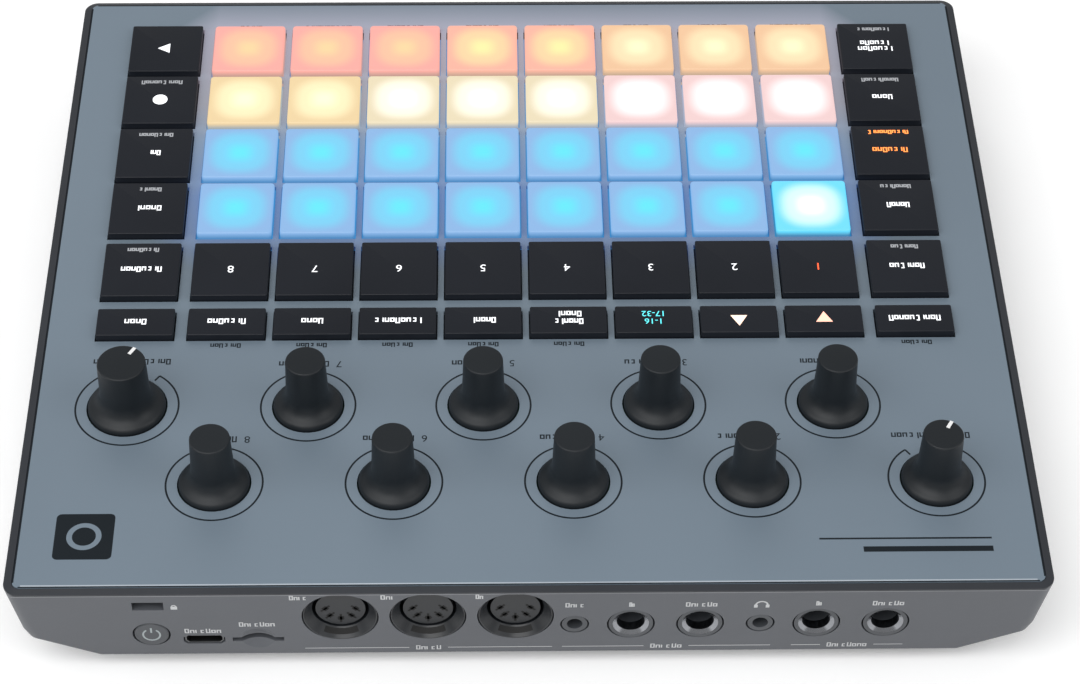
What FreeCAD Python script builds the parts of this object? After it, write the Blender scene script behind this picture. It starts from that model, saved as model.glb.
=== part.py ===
import FreeCAD, Part
import Sketcher
import math
import os
import re

# Table-top drum machine: a leaning lower case, a top frame with a thin face plate, a pad mat,
# 28 push buttons, ten knobs and the sockets, boards and battery inside.
# Frame: +X right and -Y front as the player sees it, +Z up, origin under the middle of the feet.
# Lengths are in millimetres.

doc = FreeCAD.newDocument("DrumMachine")
sheet = doc.addObject("Spreadsheet::Sheet", "Sizes")

SIZES = {
    # whole body
    "body_width": 240.0,
    "body_depth": 210.0,
    "plate_top": 29.2,
    "plate_thickness": 1.2,
    "plate_clearance": 0.15,
    "side_rim": 1.9,
    "end_rim": 1.6,
    "rim_drop": 0.6,
    "rim_edge": 0.4,
    "corner_radius": 3.6,
    # lower case
    "underside": 3.5,
    "case_wall": 2.4,
    "case_floor": 2.5,
    "side_lean": 2.4,
    "front_lean": 2.4,
    "rear_lean": 1.7,
    "bend_high": 13.7,
    "bend_low": 11.3,
    "bend_step": 1.0,
    "side_tuck": 16.0,
    "front_tuck": 15.0,
    "rear_chamfer": 1.2,
    # frame
    "frame_depth": 3.5,
    "frame_fit": 0.9,
    "tongue_wall": 1.2,
    "tongue_depth": 1.4,
    "tongue_gap": 0.15,
    "frame_lip": 3.2,
    "crossbar_width": 8.6,
    "post_radius": 3.0,
    # key grid
    "column_pitch": 21.08,
    "side_pitch": 22.42,
    "row_pitch": 20.95,
    "first_row": -82.8,
    "track_row_step": 22.3,
    "function_row_step": 18.4,
    "key_width": 19.0,
    "key_length": 18.8,
    "function_length": 9.2,
    "key_height": 1.9,
    "key_draft": 0.15,
    "key_crown": 0.35,
    "key_corner": 0.6,
    "window_gap": 0.3,
    "key_flange": 0.45,
    "flange_thickness": 1.0,
    "flange_gap": 0.3,
    "key_travel": 0.8,
    "switch_gap": 0.3,
    "nub_size": 4.0,
    "nub_height": 0.5,
    # pad mat and film
    "pad_crown": 0.5,
    "mat_margin": 0.9,
    "mat_thickness": 1.2,
    "film_thickness": 0.25,
    # boards
    "board_top": 23.6,
    "board_thickness": 1.6,
    "board_width": 214.0,
    "board_front": 94.0,
    "board_rear": 83.5,
    "switch_body": 6.0,
    "switch_cap": 1.6,
    # knobs
    "upper_knobs": 47.5,
    "lower_knobs": 72.1,
    "knob_height": 15.8,
    "cap_radius": 4.75,
    "neck_radius": 5.1,
    "skirt_radius": 8.4,
    "filter_height": 15.4,
    "filter_cap": 5.8,
    "filter_neck": 6.0,
    "filter_skirt": 9.4,
    "opening_gap": 0.33,
    "skirt_sink": 0.6,
    "skirt_edge": 2.3,
    "flare_height": 4.1,
    "cap_chamfer": 0.4,
    "pointer_width": 0.9,
    "pointer_depth": 0.35,
    "pointer_length": 3.2,
    "shaft_radius": 3.0,
    "shaft_fit": 0.05,
    "shaft_top": 41.8,
    "shaft_foot": 25.0,
    "bush_radius": 3.9,
    "bush_height": 2.6,
    "hub_recess": 5.4,
    "hub_height": 2.4,
    "encoder_size": 12.0,
    "encoder_height": 3.9,
    "pot_size": 14.0,
    # sockets in the rear wall
    "socket_face": 104.0,
    "socket_seat": 101.0,
    "jack_height": 15.75,
    "jack_group": 42.9,
    "jack_pitch": 16.0,
    "first_jack": -23.3,
    "first_small_jack": -10.3,
    "jack_hole": 5.55,
    "jack_nose": 5.15,
    "jack_bore": 3.25,
    "jack_depth": 30.0,
    "jack_body": 12.4,
    "jack_body_top": 21.4,
    "collar_radius": 4.2,
    "collar_length": 3.0,
    "collar_chamfer": 0.7,
    "collar_fit": 0.05,
    "small_hole": 3.35,
    "small_nose": 2.95,
    "small_bore": 1.8,
    "small_depth": 15.0,
    "small_body": 8.0,
    "small_body_top": 19.8,
    "din_height": 19.2,
    "first_din": 43.65,
    "din_pitch": 20.15,
    "din_hole": 8.85,
    "din_nose": 8.55,
    "din_body": 17.0,
    "din_body_depth": 12.7,
    "din_body_top": 27.3,
    "din_funnel": 8.3,
    "din_face_depth": 2.2,
    "din_groove": 6.55,
    "din_disc": 5.75,
    "din_groove_depth": 8.0,
    "din_pin_circle": 3.5,
    "din_pin_hole": 0.9,
    "din_pin_depth": 6.0,
    "din_key_width": 2.8,
    "din_key_height": 1.3,
    "din_notch_width": 8.3,
    "usb_place": 75.4,
    "port_height": 10.6,
    "usb_width": 8.9,
    "usb_height": 3.2,
    "usb_skin": 0.3,
    "usb_depth": 9.0,
    "usb_face": 103.4,
    "usb_slot_width": 9.6,
    "usb_slot_height": 3.4,
    "card_place": 62.9,
    "card_slot_width": 11.9,
    "card_slot_height": 1.5,
    "card_body_width": 14.0,
    "card_body_depth": 15.0,
    "card_body_height": 2.8,
    "card_face": 100.6,
    "card_mouth": 0.9,
    "dish_radius": 6.5,
    "dish_depth": 1.3,
    "lock_place": 87.35,
    "lock_height": 24.0,
    "lock_width": 7.2,
    "lock_slot": 3.0,
    "power_place": 87.4,
    "power_height": 12.9,
    "power_hole": 4.4,
    "power_cap": 4.0,
    "power_flange": 5.0,
    "power_stop": 100.7,
    "power_back": 99.5,
    "power_face": 104.1,
    "power_plunger": 98.4,
    "power_switch_size": 7.0,
    "power_switch_depth": 6.0,
    # connector board
    "lower_board_top": 9.0,
    "lower_board_half": 89.0,
    "lower_board_front": 66.0,
    "lower_board_rear": 98.0,
    # inside the case
    "screw_radius": 1.4,
    "screw_fit": 0.1,
    "screw_head": 2.8,
    "screw_head_height": 2.0,
    "well_radius": 3.2,
    "well_roof": 2.4,
    "well_depth": 4.5,
    "boss_radius": 3.3,
    "cup_radius": 5.0,
    "post_columns": 85.0,
    "rear_post_columns": 100.0,
    "rear_posts": 90.0,
    "rest_radius": 2.5,
    "rest_columns": 95.0,
    "rest_front": 80.0,
    "rest_middle": 5.0,
    "battery_width": 92.0,
    "battery_depth": 58.0,
    "battery_height": 9.0,
    "battery_place": -36.0,
    "tray_wall": 1.6,
    "tray_height": 5.0,
    "tray_gap": 0.4,
    "battery_corner": 2.0,
    "ribbon_width": 24.0,
    "ribbon_thickness": 0.8,
    "ribbon_place": 20.0,
    "ribbon_reach": 57.0,
    "foot_radius": 6.0,
    "foot_sink": 0.8,
    "foot_chamfer": 0.8,
    "foot_columns": 86.0,
    "foot_front": 68.0,
    "foot_rear": 84.0,
}

for row, (alias, value) in enumerate(SIZES.items(), start=1):
    sheet.set(f"A{row}", alias)
    sheet.set(f"B{row}", str(value))
    sheet.setAlias(f"B{row}", alias)
doc.recompute()

NAMES = re.compile(r"\b(" + "|".join(sorted(SIZES, key=len, reverse=True)) + r")\b")

# a scratch property works out an expression's number for a sketch's first drawing
gauge = doc.addObject("App::FeaturePython", "Gauge")
gauge.addProperty("App::PropertyFloat", "Reading")


def words(expression):
    return NAMES.sub(r"Sizes.\1", str(expression))


def number(expression):
    gauge.setExpression("Reading", words(expression))
    gauge.recompute()
    return gauge.Reading


def bind(thing, path, expression):
    thing.setExpression(path, words(expression))


def place(thing, x="0", y="0", z="0"):
    for axis, expression in zip("xyz", (x, y, z)):
        if str(expression) != "0":
            bind(thing, f".Placement.Base.{axis}", expression)


def new_body(label):
    body = doc.addObject("PartDesign::Body", label)
    body.Label = label
    body.AllowCompound = True
    return body


def origin_part(body, role):
    return next(f for f in body.Origin.OriginFeatures if f.Role == role)


def new_sketch(body, role, x="0", y="0", z="0"):
    """A sketch on one of the body's own planes; x, y and z shift it in the plane's own axes."""
    sketch = body.newObject("Sketcher::SketchObject", body.Name + "_sketch")
    sketch.AttachmentSupport = [(origin_part(body, role), "")]
    sketch.MapMode = "FlatFace"
    for axis, expression in zip("xyz", (x, y, z)):
        if str(expression) != "0":
            bind(sketch, f".AttachmentOffset.Base.{axis}", expression)
    return sketch


def dimension(sketch, name, kind, places, expression):
    index = sketch.addConstraint(Sketcher.Constraint(kind, *places, number(expression)))
    sketch.renameConstraint(index, name)
    bind(sketch, "Constraints." + name, expression)


def line(sketch, start, end):
    return sketch.addGeometry(
        Part.LineSegment(FreeCAD.Vector(*start, 0), FreeCAD.Vector(*end, 0)), False
    )


def rectangle(sketch, width, length, corner=None):
    """A rectangle centred on the sketch's origin, with its corners cut off at 45 degrees."""
    half_w = number(width) / 2
    half_l = number(length) / 2
    cut = number(corner) if corner else 0.0
    if corner:
        points = [
            (-half_w + cut, -half_l),
            (half_w - cut, -half_l),
            (half_w, -half_l + cut),
            (half_w, half_l - cut),
            (half_w - cut, half_l),
            (-half_w + cut, half_l),
            (-half_w, half_l - cut),
            (-half_w, -half_l + cut),
        ]
    else:
        points = [(-half_w, -half_l), (half_w, -half_l), (half_w, half_l), (-half_w, half_l)]
    sides = [line(sketch, a, b) for a, b in zip(points, points[1:] + points[:1])]
    for a, b in zip(sides, sides[1:] + sides[:1]):
        sketch.addConstraint(Sketcher.Constraint("Coincident", a, 2, b, 1))
    step = 2 if corner else 1
    sketch.addConstraint(Sketcher.Constraint("Horizontal", sides[0]))
    sketch.addConstraint(Sketcher.Constraint("Vertical", sides[step]))
    sketch.addConstraint(Sketcher.Constraint("Horizontal", sides[2 * step]))
    sketch.addConstraint(Sketcher.Constraint("Vertical", sides[3 * step]))
    if not corner:
        sketch.addConstraint(Sketcher.Constraint("Symmetric", 0, 1, 2, 1, -1, 1))
        dimension(sketch, "width", "DistanceX", (0, 1, 0, 2), width)
        dimension(sketch, "length", "DistanceY", (1, 1, 1, 2), length)
        return
    sketch.addConstraint(Sketcher.Constraint("Symmetric", 0, 1, 4, 1, -1, 1))
    sketch.addConstraint(Sketcher.Constraint("Symmetric", 2, 1, 6, 1, -1, 1))
    dimension(sketch, "width", "DistanceX", (6, 1, 2, 1), width)
    dimension(sketch, "length", "DistanceY", (0, 1, 4, 1), length)
    dimension(sketch, "cut_x", "DistanceX", (0, 2, 2, 1), corner)
    dimension(sketch, "cut_y", "DistanceY", (0, 2, 1, 2), corner)
    dimension(sketch, "cut_x_far", "DistanceX", (6, 1, 0, 1), corner)
    dimension(sketch, "cut_y_far", "DistanceY", (0, 1, 6, 2), corner)


def circle(sketch, radius):
    round_edge = Part.Circle(FreeCAD.Vector(0, 0, 0), FreeCAD.Vector(0, 0, 1), number(radius))
    sketch.addGeometry(round_edge, False)
    sketch.addConstraint(Sketcher.Constraint("Coincident", 0, 3, -1, 1))
    dimension(sketch, "radius", "Radius", (0,), radius)


def shape_on(sketch, shape):
    """A circle for one size; a rectangle for a width, a length and perhaps a cut corner."""
    if len(shape) == 1:
        circle(sketch, shape[0])
    else:
        rectangle(sketch, *shape)


def outline(sketch, points, arcs=()):
    """A closed outline whose every corner is held by its two distances from the origin.

    arcs holds pairs of a side's number and its radius; an arc's centre lies to the left of its run.
    """
    radii = dict(arcs)
    spots = [(number(a), number(b)) for a, b in points]
    sides = []
    for index, (a, b) in enumerate(zip(spots, spots[1:] + spots[:1])):
        sides.append(arc(sketch, a, b, radii[index]) if index in radii else line(sketch, a, b))
    for a, b in zip(sides, sides[1:] + sides[:1]):
        sketch.addConstraint(Sketcher.Constraint("Coincident", a, 2, b, 1))
    hold_corners(sketch, sides, points)
    for index, radius in arcs:
        dimension(sketch, f"radius{index}", "Radius", (sides[index],), radius)


def arc(sketch, start, end, radius):
    reach = number(radius)
    run = (end[0] - start[0], end[1] - start[1])
    chord = math.hypot(*run)
    rise = math.sqrt(reach**2 - (chord / 2) ** 2)
    centre = (
        (start[0] + end[0]) / 2 - run[1] / chord * rise,
        (start[1] + end[1]) / 2 + run[0] / chord * rise,
    )
    first = math.atan2(start[1] - centre[1], start[0] - centre[0])
    last = math.atan2(end[1] - centre[1], end[0] - centre[0])
    whole = Part.Circle(FreeCAD.Vector(*centre, 0), FreeCAD.Vector(0, 0, 1), reach)
    turn = first + (last - first) % math.tau
    return sketch.addGeometry(Part.ArcOfCircle(whole, first, turn), False)


def rounded_plan(sketch, side, front, rear, radius):
    """A level outline with round corners, as far out as side, front and rear say."""
    r = radius
    outline(
        sketch,
        [
            (f"-({side}) + {r}", f"-({front})"),
            (f"({side}) - {r}", f"-({front})"),
            (f"{side}", f"-({front}) + {r}"),
            (f"{side}", f"({rear}) - {r}"),
            (f"({side}) - {r}", f"{rear}"),
            (f"-({side}) + {r}", f"{rear}"),
            (f"-({side})", f"({rear}) - {r}"),
            (f"-({side})", f"-({front}) + {r}"),
        ],
        [(1, r), (3, r), (5, r), (7, r)],
    )


def hold_corners(sketch, sides, points):
    for index, (side, (across, up)) in enumerate(zip(sides, points)):
        if str(across) == "0":
            sketch.addConstraint(Sketcher.Constraint("PointOnObject", side, 1, -2))
        else:
            dimension(sketch, f"x{index}", "DistanceX", (-1, 1, side, 1), across)
        if str(up) == "0":
            sketch.addConstraint(Sketcher.Constraint("PointOnObject", side, 1, -1))
        else:
            dimension(sketch, f"y{index}", "DistanceY", (-1, 1, side, 1), up)


def feature(body, kind, sketch, **sizes):
    thing = body.newObject("PartDesign::" + kind, body.Name + "_" + kind)
    thing.Profile = sketch
    for path, expression in sizes.items():
        bind(thing, path, expression)
    return thing


def pad(body, sketch, length, reverse=False, middle=False, **more):
    thing = feature(body, "Pad", sketch, Length=length, **more)
    thing.Reversed = reverse
    thing.Midplane = middle
    return thing


def pocket(body, sketch, length, reverse=False, middle=False):
    """A pocket that has to take material away: it stops the build where it cuts nothing."""
    doc.recompute()
    before = body.Shape.Volume
    thing = feature(body, "Pocket", sketch, Length=length)
    thing.Reversed = reverse
    thing.Midplane = middle
    doc.recompute()
    if body.Shape.Volume > before - 1e-6:
        raise RuntimeError("a pocket cut nothing in " + body.Label)
    return thing


def row_of(body, originals, axis, length, count):
    pattern = body.newObject("PartDesign::LinearPattern", body.Name + "_row")
    pattern.Originals = originals
    pattern.Direction = (origin_part(body, axis + "_Axis"), [""])
    bind(pattern, "Length", length)
    pattern.Occurrences = count
    body.Tip = pattern
    return pattern


def grid_of(body, originals, rows):
    """Repeats features along more than one axis; rows holds (axis, length, count)."""
    grid = body.newObject("PartDesign::MultiTransform", body.Name + "_grid")
    grid.Originals = originals
    steps = []
    for axis, length, count in rows:
        step = body.newObject("PartDesign::LinearPattern", body.Name + "_step")
        step.Direction = (origin_part(body, axis + "_Axis"), [""])
        bind(step, "Length", length)
        step.Occurrences = count
        steps.append(step)
    grid.Transformations = steps
    body.Tip = grid
    return grid


def mirror_of(body, originals, role):
    mirror = body.newObject("PartDesign::Mirrored", body.Name + "_mirror")
    mirror.Originals = originals
    mirror.MirrorPlane = (origin_part(body, role), [""])
    body.Tip = mirror
    return mirror


def revolve(body, sketch, kind="Revolution"):
    turned = body.newObject("PartDesign::" + kind, body.Name + "_turned")
    turned.Profile = sketch
    turned.ReferenceAxis = (sketch, ["V_Axis"])
    turned.Angle = 360.0
    return turned


def ruled_loft(body, kind, sections):
    loft = body.newObject("PartDesign::" + kind, body.Name + "_loft")
    loft.Profile = sections[0]
    loft.Sections = sections[1:]
    loft.Ruled = True
    return loft


# Places that several pieces share

PLATE_UNDER = "(plate_top - plate_thickness)"
SPLIT = "(plate_top - rim_drop - rim_edge)"
FLOOR_TOP = "(underside + case_floor)"
BOARD_UNDER = "(board_top - board_thickness)"
LOWER_UNDER = "(lower_board_top - board_thickness)"
FIRST_COLUMN = "(3.5 * column_pitch)"
SIDE_COLUMN = "(3.5 * column_pitch + side_pitch)"
LAST_PAD_ROW = "(first_row + 3 * row_pitch)"
TRACK_ROW = f"({LAST_PAD_ROW} + track_row_step)"
FUNCTION_ROW = f"({TRACK_ROW} + function_row_step)"
MAT_TOP = "(board_top + film_thickness + mat_thickness)"
FLANGE_TOP = f"({PLATE_UNDER} - flange_gap)"
SWITCH_TOP = f"({FLANGE_TOP} - flange_thickness - nub_height - key_travel - switch_gap)"


def case_section(body, height, side, front, rear, corner):
    sketch = new_sketch(body, "XY_Plane", z=height)
    rounded_plan(sketch, side, front, rear, corner)
    return sketch


# Lower case: a tub whose walls lean inward and tuck under at the front and the sides

HALF_W = "body_width / 2"
HALF_D = "body_depth / 2"

case = new_body("bottom_case")
ruled_loft(
    case,
    "AdditiveLoft",
    [
        case_section(case, SPLIT, HALF_W, HALF_D, HALF_D, "corner_radius"),
        case_section(
            case,
            "bend_high",
            f"{HALF_W} - side_lean",
            f"{HALF_D} - front_lean",
            f"{HALF_D} - rear_lean * 0.59",
            "corner_radius",
        ),
        case_section(
            case,
            "bend_low",
            f"{HALF_W} - side_lean - bend_step",
            f"{HALF_D} - front_lean - bend_step",
            f"{HALF_D} - rear_lean * 0.68",
            "corner_radius",
        ),
        case_section(
            case,
            "underside + rear_chamfer",
            f"{HALF_W} - side_lean - bend_step - side_tuck * 0.85",
            f"{HALF_D} - front_lean - bend_step - front_tuck * 0.85",
            f"{HALF_D} - rear_lean",
            "corner_radius",
        ),
        case_section(
            case,
            "underside",
            f"{HALF_W} - side_lean - bend_step - side_tuck",
            f"{HALF_D} - front_lean - bend_step - front_tuck",
            f"{HALF_D} - rear_lean - rear_chamfer",
            "corner_radius",
        ),
    ],
)
TUCK_WALL = "case_wall * 2.2"
ruled_loft(
    case,
    "SubtractiveLoft",
    [
        case_section(
            case,
            SPLIT,
            f"{HALF_W} - case_wall",
            f"{HALF_D} - case_wall",
            f"{HALF_D} - case_wall",
            "corner_radius",
        ),
        case_section(
            case,
            "bend_high",
            f"{HALF_W} - side_lean - case_wall",
            f"{HALF_D} - front_lean - case_wall",
            f"{HALF_D} - rear_lean * 0.59 - case_wall",
            "corner_radius",
        ),
        case_section(
            case,
            FLOOR_TOP,
            f"{HALF_W} - side_lean - bend_step - side_tuck * 0.68 - {TUCK_WALL}",
            f"{HALF_D} - front_lean - bend_step - front_tuck * 0.68 - {TUCK_WALL}",
            f"{HALF_D} - rear_lean - case_wall",
            "corner_radius",
        ),
    ],
)
rebate = new_sketch(case, "XY_Plane", z=f"{SPLIT} + 1")
REBATE_SIDE = f"{HALF_W} - tongue_wall"
REBATE_END = f"{HALF_D} - tongue_wall"
rounded_plan(rebate, REBATE_SIDE, REBATE_END, REBATE_END, "(corner_radius - tongue_wall)")
pocket(case, rebate, "tongue_depth + 1")


def upright(body, radius, x, y, foot, top):
    """A round post from foot to top."""
    sketch = new_sketch(body, "XY_Plane", x, y, foot)
    circle(sketch, radius)
    return pad(body, sketch, f"{top} - {foot}")


def well(body, radius, x, y, foot, depth):
    sketch = new_sketch(body, "XY_Plane", x, y, foot)
    circle(sketch, radius)
    return pocket(body, sketch, depth, reverse=True)


# screw bosses: three under the crossbar, two at the rear, two at the front
CROSSBAR = f"({FUNCTION_ROW} + function_length / 2 + window_gap + crossbar_width / 2 + 1)"
MID_SCREWS = ("post_columns", CROSSBAR, 3, BOARD_UNDER)
REAR_SCREWS = ("rear_post_columns", "rear_posts", 2, "board_top")
for column, across, count, top in (MID_SCREWS, REAR_SCREWS):
    cup = upright(case, "cup_radius", f"-{column}", across, FLOOR_TOP, "(underside + well_depth + well_roof)")
    stem = upright(case, "boss_radius", f"-{column}", across, FLOOR_TOP, top)
    row_of(case, [cup, stem], "X", f"2 * {column}", count)
    hole = well(case, "screw_radius + screw_fit", f"-{column}", across, "0", "board_top")
    bore = well(case, "well_radius", f"-{column}", across, "0", "underside + well_depth")
    row_of(case, [hole, bore], "X", f"2 * {column}", count)

# rests that carry the main board
rest = upright(case, "rest_radius", "-rest_columns", "-rest_front", FLOOR_TOP, BOARD_UNDER)
grid_of(
    case,
    [rest],
    [("X", "2 * rest_columns", 2), ("Y", "rest_front + rest_middle", 2)],
)

# standoffs that carry the connector board
standoff = upright(
    case,
    "rest_radius",
    "-lower_board_half + 2 * rest_radius",
    "lower_board_front + 2 * rest_radius",
    FLOOR_TOP,
    LOWER_UNDER,
)
grid_of(
    case,
    [standoff],
    [
        ("X", "2 * lower_board_half - 4 * rest_radius", 2),
        ("Y", "lower_board_rear - lower_board_front - 4 * rest_radius", 2),
    ],
)

# a low wall round the battery
tray = new_sketch(case, "XY_Plane", "0", "battery_place", FLOOR_TOP)
rectangle(tray, "battery_width + 2 * (tray_gap + tray_wall)", "battery_depth + 2 * (tray_gap + tray_wall)")
pad(case, tray, "tray_height")
tray_room = new_sketch(case, "XY_Plane", "0", "battery_place", FLOOR_TOP)
rectangle(tray_room, "battery_width + 2 * tray_gap", "battery_depth + 2 * tray_gap")
pocket(case, tray_room, "tray_height + 1", reverse=True)


# the rear wall's holes, cut from outside; a sketch on the XZ plane looks along -Y
def rear_hole(body, x, z, shape, depth="12"):
    sketch = new_sketch(body, "XZ_Plane", x, z, f"-({HALF_D} + 1)")
    shape_on(sketch, shape)
    return pocket(body, sketch, depth, reverse=True)


small_hole = rear_hole(case, "first_small_jack", "jack_height", ["small_hole"])
jack_holes = [
    rear_hole(case, f"first_jack - {k} * jack_pitch", "jack_height", ["jack_hole"]) for k in (0, 1)
]
row = row_of(case, [small_hole] + jack_holes, "X", "jack_group", 2)
row.Reversed = True
din_hole = rear_hole(case, "first_din", "din_height", ["din_hole"])
row = row_of(case, [din_hole], "X", "2 * din_pitch", 3)
row.Reversed = True
rear_hole(case, "power_place", "power_height", ["power_hole"])
rear_hole(case, "usb_place", "port_height", ["usb_slot_width", "usb_slot_height", "card_mouth"])
rear_hole(case, "card_place", "port_height", ["card_slot_width", "card_slot_height"])
rear_hole(case, "lock_place", "lock_height", ["lock_width", "lock_slot"])

# thumb dish round the card slot
dish = case.newObject("PartDesign::SubtractiveSphere", "thumb_dish")
bind(dish, "Radius", "dish_radius")
bind(dish, ".AttachmentOffset.Base.x", "card_place")
bind(dish, ".AttachmentOffset.Base.y", f"{HALF_D} - rear_lean * 0.7 + dish_radius - dish_depth")
bind(dish, ".AttachmentOffset.Base.z", "port_height")
dish.AttachmentSupport = [(origin_part(case, "XY_Plane"), "")]
dish.MapMode = "FlatFace"

# shallow seats for the feet
for front, depth in (("-foot_front", "foot_front"), ("foot_rear", "foot_rear")):
    seat = well(case, "foot_radius + 0.1", "-foot_columns", front, "0", "underside + foot_sink")
    row_of(case, [seat], "X", "2 * foot_columns", 2)


# Top frame: the dark rim, a ledge under the face plate, a crossbar and the screw posts

frame = new_body("top_frame")
PLATE_SIDE = f"({HALF_W} - side_rim)"
PLATE_END = f"({HALF_D} - end_rim)"
PLATE_CORNER = "(corner_radius - end_rim)"
ruled_loft(
    frame,
    "AdditiveLoft",
    [
        case_section(frame, SPLIT, HALF_W, HALF_D, HALF_D, "corner_radius"),
        case_section(frame, f"{SPLIT} + rim_edge", HALF_W, HALF_D, HALF_D, "corner_radius"),
        case_section(
            frame,
            "plate_top - plate_clearance",
            PLATE_SIDE,
            PLATE_END,
            PLATE_END,
            PLATE_CORNER,
        ),
    ],
)
ledge = new_sketch(frame, "XY_Plane", z=f"{SPLIT} - frame_depth")
LEDGE_SIDE = f"{HALF_W} - case_wall - frame_fit"
LEDGE_END = f"{HALF_D} - case_wall - frame_fit"
rounded_plan(ledge, LEDGE_SIDE, LEDGE_END, LEDGE_END, "corner_radius")
pad(frame, ledge, "frame_depth")
tongue = new_sketch(frame, "XY_Plane", z=f"{SPLIT} - tongue_depth + tongue_gap")
TONGUE_SIDE = f"{REBATE_SIDE} - tongue_gap"
TONGUE_END = f"{REBATE_END} - tongue_gap"
rounded_plan(tongue, TONGUE_SIDE, TONGUE_END, TONGUE_END, "(corner_radius - tongue_wall)")
pad(frame, tongue, "tongue_depth - tongue_gap")
plate_room = new_sketch(frame, "XY_Plane", z="plate_top + 1")
rounded_plan(plate_room, PLATE_SIDE, PLATE_END, PLATE_END, PLATE_CORNER)
pocket(frame, plate_room, "plate_thickness + 1")
KEY_ROOM_SIDE = f"({SIDE_COLUMN} + key_width / 2 + key_flange + 1.4)"
KEY_ROOM_FRONT = "(first_row - key_length / 2 - key_flange - 0.8)"
KEY_ROOM_REAR = f"({FUNCTION_ROW} + function_length / 2 + key_flange + 0.6)"
KNOB_ROOM_FRONT = f"({KEY_ROOM_REAR} + crossbar_width)"
KNOB_ROOM_REAR = f"({HALF_D} - case_wall - frame_fit - frame_lip)"
for front, rear in ((KEY_ROOM_FRONT, KEY_ROOM_REAR), (KNOB_ROOM_FRONT, KNOB_ROOM_REAR)):
    room = new_sketch(frame, "XY_Plane", y=f"({front} + {rear}) / 2", z="plate_top + 1")
    rectangle(room, f"2 * {KEY_ROOM_SIDE}", f"{rear} - {front}")
    pocket(frame, room, "frame_depth + 4")
for sign in ("-1", "1"):
    gusset = new_sketch(
        frame,
        "XY_Plane",
        f"{sign} * ({KEY_ROOM_SIDE} + rear_post_columns - post_radius) / 2",
        "rear_posts",
        f"{SPLIT} - frame_depth",
    )
    rectangle(gusset, f"{KEY_ROOM_SIDE} - rear_post_columns + post_radius + 1", "3 * post_radius")
    pad(frame, gusset, f"{PLATE_UNDER} - {SPLIT} + frame_depth")
for column, across, count, top in (MID_SCREWS, REAR_SCREWS):
    post = upright(frame, "post_radius", f"-{column}", across, "board_top", PLATE_UNDER)
    row_of(frame, [post], "X", f"2 * {column}", count)
    pilot = well(frame, "screw_radius + screw_fit / 2", f"-{column}", across, "0", f"{PLATE_UNDER} - 0.8")
    row_of(frame, [pilot], "X", f"2 * {column}", count)
# room for the round sockets' bodies under the rear lip
DIN_ROOM_FRONT = f"({KNOB_ROOM_REAR} - 1)"
DIN_ROOM_REAR = f"({HALF_D} - tongue_wall)"
din_room = new_sketch(
    frame, "XY_Plane", "first_din - din_pitch", f"({DIN_ROOM_FRONT} + {DIN_ROOM_REAR}) / 2", "0"
)
rectangle(din_room, "2 * din_pitch + din_body + 2", f"{DIN_ROOM_REAR} - {DIN_ROOM_FRONT}")
pocket(frame, din_room, SPLIT, reverse=True)


# Face plate: a thin sheet with a window for every pad and key and a round opening for every knob

plate = new_body("face_plate")
sheet_outline = new_sketch(plate, "XY_Plane", z=PLATE_UNDER)
SHEET_SIDE = f"{PLATE_SIDE} - plate_clearance"
SHEET_END = f"{PLATE_END} - plate_clearance"
rounded_plan(sheet_outline, SHEET_SIDE, SHEET_END, SHEET_END, f"({PLATE_CORNER} - plate_clearance)")
pad(plate, sheet_outline, "plate_thickness")


def window(x, y, length):
    sketch = new_sketch(plate, "XY_Plane", x, y, "plate_top + 1")
    rectangle(sketch, "key_width + 2 * window_gap", f"{length} + 2 * window_gap")
    return pocket(plate, sketch, "plate_thickness + 2")


def knob_opening(x, y, skirt):
    sketch = new_sketch(plate, "XY_Plane", x, y, "plate_top + 1")
    circle(sketch, f"{skirt} + opening_gap")
    return pocket(plate, sketch, "plate_thickness + 2")


grid_of(
    plate,
    [window(f"-{FIRST_COLUMN}", "first_row", "key_length")],
    [("X", "7 * column_pitch", 8), ("Y", "3 * row_pitch", 4)],
)
grid_of(
    plate,
    [window(f"-{SIDE_COLUMN}", "first_row", "key_length")],
    [("X", f"2 * {SIDE_COLUMN}", 2), ("Y", "3 * row_pitch", 4)],
)
LOWER_ROWS = ((TRACK_ROW, "key_length"), (FUNCTION_ROW, "function_length"))
inner = [window(f"-{FIRST_COLUMN}", y, length) for y, length in LOWER_ROWS]
row_of(plate, inner, "X", "7 * column_pitch", 8)
outer = [window(f"-{SIDE_COLUMN}", y, length) for y, length in LOWER_ROWS]
row_of(plate, outer, "X", f"2 * {SIDE_COLUMN}", 2)
openings = [
    knob_opening(f"-{FIRST_COLUMN}", "upper_knobs", "skirt_radius"),
    knob_opening(f"column_pitch - {FIRST_COLUMN}", "lower_knobs", "skirt_radius"),
]
row_of(plate, openings, "X", "6 * column_pitch", 4)
knob_opening(SIDE_COLUMN, "upper_knobs", "filter_skirt")
knob_opening(f"-{SIDE_COLUMN}", "lower_knobs", "skirt_radius")


def bevelled_block(body, x, y, length, foot, crown):
    """A block with a slight draft from its foot up and a bevelled top edge."""
    top = "(plate_top + key_height)"
    sections = []
    for height, inset in ((foot, "0"), (f"{top} - {crown}", "key_draft"), (top, f"key_draft + {crown}")):
        sketch = new_sketch(body, "XY_Plane", x, y, height)
        rectangle(sketch, f"key_width - 2 * ({inset})", f"{length} - 2 * ({inset})", "key_corner")
        sections.append(sketch)
    return ruled_loft(body, "AdditiveLoft", sections)


# Pad mat: one silicone moulding, a sheet with 32 pads that stand up through their windows

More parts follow.
